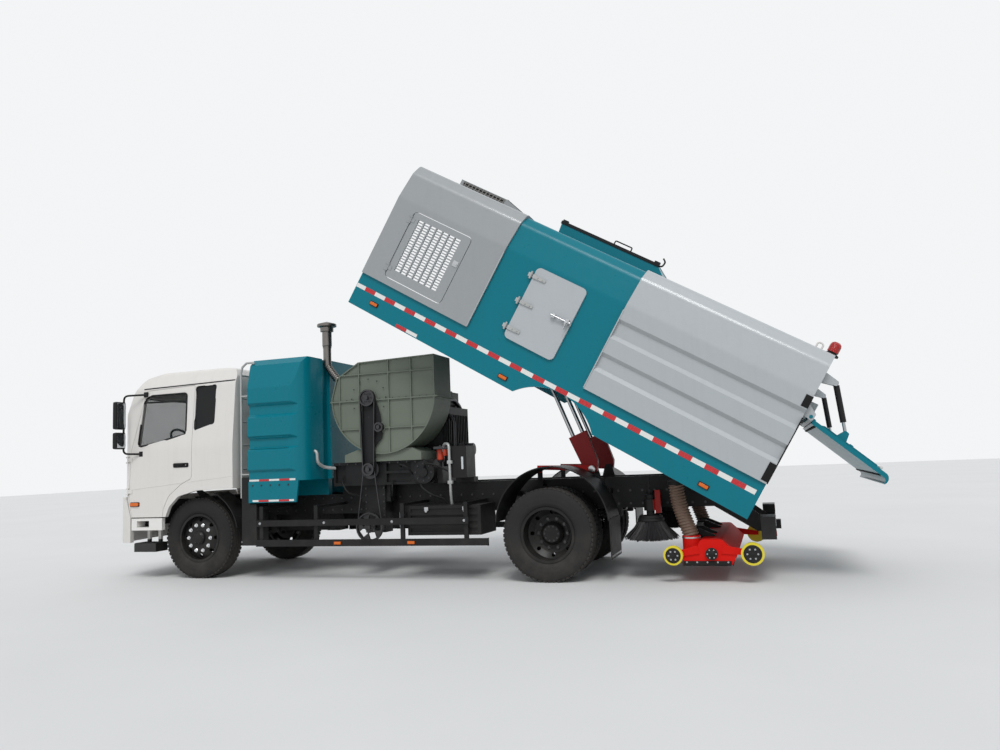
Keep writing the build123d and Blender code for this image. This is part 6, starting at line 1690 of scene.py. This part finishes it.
        for x, y in ((3.56, -0.60), (3.56, 0.60), (4.79, -0.60)):
            rim.box(xs(x - 0.035, x + 0.035), span(y, 0.02), (2.955, 3.012), 0.006)
        rim.pipe([(at(4.80), -0.60, 2.96), (at(4.86), -0.60, 2.98), (at(4.87), -0.60, 3.04), (at(4.83), -0.60, 3.07)],
                 0.010, 0.02, 10)
        rim.made("roof_box_rim", Paints.TRIM, "hopper")
        Shape(self.turn).lathe([(0, 0), (0.075, 0), (0.075, 0.02), (0.05, 0.03), (0.05, 0.045), (0, 0.045)],
                               (at(6.93), -0.90, 2.816), "Z", 28).made("beacon_base", Paints.TRIM, "hopper")
        Shape(self.turn).lathe([(0, 0.04), (0.058, 0.04), (0.058, 0.11), (0.05, 0.135), (0.03, 0.15), (0, 0.154)],
                               (at(6.93), -0.90, 2.816), "Z", 28).made("beacon_dome", Paints.RED_LENS, "hopper")
        eyes = Shape(self.turn)
        rear, front = at(6.82), at(6.76)
        for y in (-0.98, 0.98):
            eyes.pipe([(front, y, 2.79), (front, y, 2.885), (rear, y, 2.885), (rear, y, 2.79)], 0.010, 0.03, 10)
        eyes.made("lifting_eyes", Paints.CAB_WHITE, "hopper")

    def tailgate(self) -> None:
        """Stiffeners and bar on the tailgate's outer face, and its seal."""
        hinge = Vector((at(7.04), 0, 2.150))
        swing = Matrix.Translation(hinge) @ Matrix.Rotation(radians(-79), 4, "Y") @ Matrix.Translation(-hinge)
        turn = self.turn @ swing
        ribs = Shape(turn)
        for y in (-0.80, -0.40, 0.0, 0.40, 0.80):
            ribs.plate([(at(7.033), 1.30), (at(7.066), 1.36), (at(7.066), 1.98), (at(7.033), 2.05)], *span(y, 0.02))
        ribs.box(xs(7.033, 7.058), (-1.10, 1.10), (1.66, 1.70), 0.004)
        ribs.made("tailgate_ribs", Paints.TEAL, "tailgate")
        bar = Shape(turn)
        bar.rod((at(7.052), -1.08, 1.34), (at(7.052), 1.08, 1.34), 0.016, 14)
        bar.made("tailgate_bar", Paints.CAB_WHITE, "tailgate")
        seal = Shape(turn)
        seal.box(xs(6.980, 6.989), (-1.125, 1.125), (1.30, 1.325), 0.003)
        seal.box(xs(6.980, 6.989), (-1.125, 1.125), (2.05, 2.075), 0.003)
        seal.made("tailgate_seal", Paints.RUBBER, "tailgate")

    def build(self) -> None:
        """Makes all of the hopper's pieces."""
        self.sides()
        self.louvres()
        self.hatch()
        self.roof()
        self.tailgate()


# Sweeping gear


@dataclass
class SweepingGear:
    """Bristles, brush motors, suction hoses, nozzle bolts and lips, and the casters' hubs."""

    bolts: Bolts
    tufts: Tufts
    brush: Point = (5.79, 0.77, 0.69)
    nozzle_front: float = 6.14
    nozzle_rear: float = 6.70
    bristles: int = 2600

    def brushes(self) -> None:
        """Flared bristles under each brush plate, with its motor and the motor's lines."""
        station, across, height = self.brush
        for side, word in SIDE_NAMES.items():
            one = Shape()
            part = bmesh.new()
            rings = []
            for drop, out, wide in ((0.0, 0.0, 0.0028), (-0.14, 0.010, 0.0028), (-0.335, 0.060, 0.002)):
                rings.append([part.verts.new((out + wide * cos(tau * k / 4), wide * sin(tau * k / 4), drop))
                              for k in range(4)])
            one.join(skinned(part, rings))
            raw = one.made("bristle_" + word, Paints.BRISTLE, None)
            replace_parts(self.tufts.run(raw, "bristles_" + word, Paints.BRISTLE, "brush_" + word, {
                "Count": self.bristles, "Centre": (at(station), side * across, height - 0.040), "Inner": 0.02,
                "Outer": 0.126, "Lean": 0.44}), "brush_" + word)
            Shape().lathe([(0.0, 0.05), (0.045, 0.05), (0.045, 0.0), (0.126, -0.004), (0.130, -0.03), (0.142, -0.036),
                           (0.146, -0.060), (0.136, -0.068), (0.0, -0.06)], (at(station), side * across, height), "Z",
                          40).made("brush_plate_" + word, Paints.TRIM, "brush_" + word)
            self.bolts.row("brush_plate_bolts_" + word, "brush_" + word,
                           (at(station) - 0.10, side * across, height - 0.004), (0.2, 0, 0), 2, "Z", 0.018)
            motor = Shape()
            motor.lathe([(0, 0), (0.05, 0), (0.05, 0.05), (0.042, 0.06), (0, 0.06)],
                        (at(station), side * across, height + 0.168), "Z", 24)
            for foot, bend, end, high, low in ((0.0, -0.05, -0.05, 0.94, 0.90), (0.02, 0.03, 0.02, 0.955, 0.91)):
                motor.pipe([(at(station + foot), side * (across - 0.04), height + 0.20),
                            (at(station + bend), side * 0.70, high), (at(station + end), side * 0.52, low)], 0.012,
                           0.05, 10)
            motor.made("brush_motor_" + word, Paints.TRIM, "brush_arm_" + word)

    def nozzle(self) -> None:
        """Bosses, bolts, rubber lips and carrier of the nozzle, its casters' hubs and the hoses' clamps."""
        lip = Shape()
        for x in (self.nozzle_front - 0.006, self.nozzle_rear - 0.062):
            lip.box(xs(x, x + 0.010), (-1.045, 1.045), (0.174, 0.235), 0.003)
        for side, word in SIDE_NAMES.items():
            out = OUTWARD[side]
            y = ends(side, 1.055, 1.063)
            lip.box(xs(6.145, 6.635), y, (0.174, 0.225), 0.003)
            self.bolts.ring("nozzle_boss_bolts_" + word, "nozzle", (at(6.44), side * 1.081, 0.30), 0.044, 6, out, 0.014,
                            Paints.STEEL)
            self.bolts.row("nozzle_lip_bolts_" + word, "nozzle", (at(6.18), side * 1.062, 0.212), (0.105, 0, 0), 5, out,
                           0.013, Paints.STEEL)
            Shape().lathe([(0, 0), (0.064, 0), (0.064, 0.004), (0.03, 0.006), (0.03, 0.016), (0.024, 0.02), (0, 0.02)],
                          (at(6.44), side * 1.079, 0.30), out, 32).made("nozzle_boss_" + word, Paints.TRIM, "nozzle")
            for place, x, radius in (("front", 6.05, 0.100), ("rear", 6.85, 0.115)):
                centre = (at(x), side * 1.148, radius + 0.19)
                hub = Shape()
                hub.lathe([(0, 0.004), (radius * 0.76, 0.004), (radius * 0.80, 0), (radius * 0.80, -0.002),
                           (radius * 0.5, -0.002), (0, -0.002)], centre, out, 32)
                hub.hexagon((centre[0], centre[1] + side * 0.003, centre[2]), out, 0.024, 0.012)
                hub.made(f"caster_hub_{place}_{word}", Paints.TRIM, f"caster_{place}_{word}")
                self.bolts.ring(f"caster_bolts_{place}_{word}", f"caster_{place}_{word}",
                                (centre[0], centre[1] + side * 0.003, centre[2]), radius * 0.46, 6, out, 0.013,
                                Paints.STEEL)
        lip.made("nozzle_lips", Paints.RUBBER, "nozzle")
        self.bolts.row("nozzle_front_bolts", "nozzle", (at(self.nozzle_front), -0.96, 0.212), (0, 0.16, 0), 13, "-X",
                       0.014, Paints.STEEL)
        carrier = Shape()
        carrier.box(xs(6.20, 6.27), (-0.74, 0.74), (0.452, 0.512), 0.006)
        for y in (-0.70, -0.35, 0.35, 0.70):
            carrier.plate([(at(6.19), 0.40), (at(6.19), 0.53), (at(6.30), 0.53), (at(6.46), 0.46), (at(6.46), 0.435),
                           (at(6.30), 0.43), (at(6.30), 0.40)], *span(y, 0.010))
        carrier.made("nozzle_carrier", Paints.CHASSIS, "nozzle")
        bands = Shape()
        for side in (LEFT, RIGHT):
            bands.lathe([(0.095, -0.008), (0.099, -0.008), (0.099, 0.008), (0.095, 0.008)],
                        (at(6.225), side * 0.88, 0.455), "Z", 32)
        bands.made("hose_clamps", Paints.STEEL, "nozzle")

    def hoses(self) -> None:
        """The two ribbed suction hoses, which bend between the frame and the nozzle."""
        top, foot = Vector((at(6.10), 0, 1.045)), Vector((at(6.225), 0, 0.470))
        for side, word in SIDE_NAMES.items():
            across = Vector((0, side * 0.88, 0))
            shape = Shape()
            shape.bellows(top + across, foot + across, 0.0875, 0.013, 19, 0.030)
            hose = shape.made("suction_hose_" + word, Paints.HOSE, None, 70)
            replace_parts(hose, "suction_hoses")
            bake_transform(hose)
            collar = Shape()
            collar.lathe([(0.080, -0.03), (0.094, -0.03), (0.094, 0.02), (0.080, 0.02)], tuple(top + across), "Z", 32)
            collar.made("hose_collar_" + word, Paints.TRIM, "chassis")

    def build(self) -> None:
        """Makes all of the sweeping gear's pieces."""
        self.brushes()
        self.hoses()
        self.nozzle()


# Studio


@dataclass
class Studio:
    """The floor, the backdrop, the lights and the camera of the photograph."""

    camera_place: Point = (3.692, -9.781, 1.352)
    yaw: float = radians(18.44)
    pitch: float = radians(6.12)
    roll: float = radians(-2.33)
    lens: float = 28.75
    floor_half: float = 60.0
    sun_strength: float = 1.6
    sky_strength: float = 0.75

    def build(self) -> None:
        """Makes all of it."""
        self.camera()
        self.floor()
        self.lights()
        bpy.context.scene.view_settings.view_transform = "Standard"

    def camera(self) -> None:
        """Stands the camera where the photographer stood."""
        data = bpy.data.cameras.new("camera")
        data.lens, data.sensor_width = self.lens, 36.0
        data.clip_end = 400.0
        eye = bpy.data.objects.new("camera", data)
        bpy.context.scene.collection.objects.link(eye)
        level = Vector((-sin(self.yaw), cos(self.yaw), 0))
        across = Vector((cos(self.yaw), sin(self.yaw), 0))
        up = Vector((0, 0, 1))
        ahead = level * cos(self.pitch) + up * sin(self.pitch)
        over = up * cos(self.pitch) - level * sin(self.pitch)
        right = across * cos(self.roll) + over * sin(self.roll)
        top = over * cos(self.roll) - across * sin(self.roll)
        turn = Matrix((right, top, -ahead)).transposed().to_4x4()
        eye.matrix_world = Matrix.Translation(self.camera_place) @ turn
        bpy.context.scene.camera = eye

    def floor(self) -> None:
        """Lays a pale floor that runs to the horizon."""
        shape = Shape()
        half = self.floor_half
        shape.box((-half, half), (-half, half), (-0.02, 0.0))
        data = bpy.data.meshes.new("floor")
        shape.mesh.to_mesh(data)
        shape.mesh.free()
        floor = bpy.data.objects.new("floor", data)
        bpy.context.scene.collection.objects.link(floor)
        made = bpy.data.materials.new("pale_floor")
        made.use_nodes = True
        graph = Graph(made.node_tree)
        shader = made.node_tree.nodes["Principled BSDF"]
        shade = graph.mix(graph.noise(0.4), (0.62, 0.62, 0.61), (0.68, 0.68, 0.67))
        graph.tree.links.new(shade.value, shader.inputs["Base Color"])
        shader.inputs["Roughness"].default_value = 0.85
        data.materials.append(made)

    def lights(self) -> None:
        """Hangs a plain overcast sky and one broad sun."""
        world = bpy.data.worlds.new("sky")
        bpy.context.scene.world = world
        world.use_nodes = True
        graph = Graph(world.node_tree)
        ground = world.node_tree.nodes["Background"]
        direction = graph.node("ShaderNodeTexCoord", {}, {}, "Generated")
        _, _, height = graph.axes(direction)
        sky = graph.mix(height.ramp(-0.1, 0.6), (0.72, 0.73, 0.74), (0.92, 0.95, 1.0))
        ray = graph.node("ShaderNodeLightPath", {}, {}, "Is Camera Ray")
        rays = ray.value.node.outputs
        path = (ray + Wire(graph, rays["Is Glossy Ray"]) + Wire(graph, rays["Is Transmission Ray"])).held()
        seen = graph.mix(path, sky, (0.9, 0.91, 0.92))
        graph.tree.links.new(seen.value, ground.inputs["Color"])
        strength = path * (1.0 - self.sky_strength) + self.sky_strength
        graph.tree.links.new(strength.value, ground.inputs["Strength"])
        data = bpy.data.lights.new("sun", "SUN")
        data.energy, data.angle = self.sun_strength, radians(25)
        sun = bpy.data.objects.new("sun", data)
        sun.rotation_euler = Euler((radians(38), 0, radians(20)))
        bpy.context.scene.collection.objects.link(sun)


def main() -> None:
    """Builds the whole scene."""
    logging.basicConfig(level=logging.INFO, format="%(name)s: %(message)s")
    for thing in list(bpy.data.objects):
        bpy.data.objects.remove(thing)
    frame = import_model()
    Studio().build()
    FrameFinishes(frame["nodes"]).dress()
    bolts = Bolts(Rows(), Rings())
    Wheels(bolts).build()
    Cab(frame["nodes"], bolts).build()
    Tank(bolts).build()
    Machinery(bolts).build()
    Chassis(bolts).build()
    Hopper(bolts).build()
    SweepingGear(bolts, Tufts()).build()


if __name__ == "__main__":
    main()
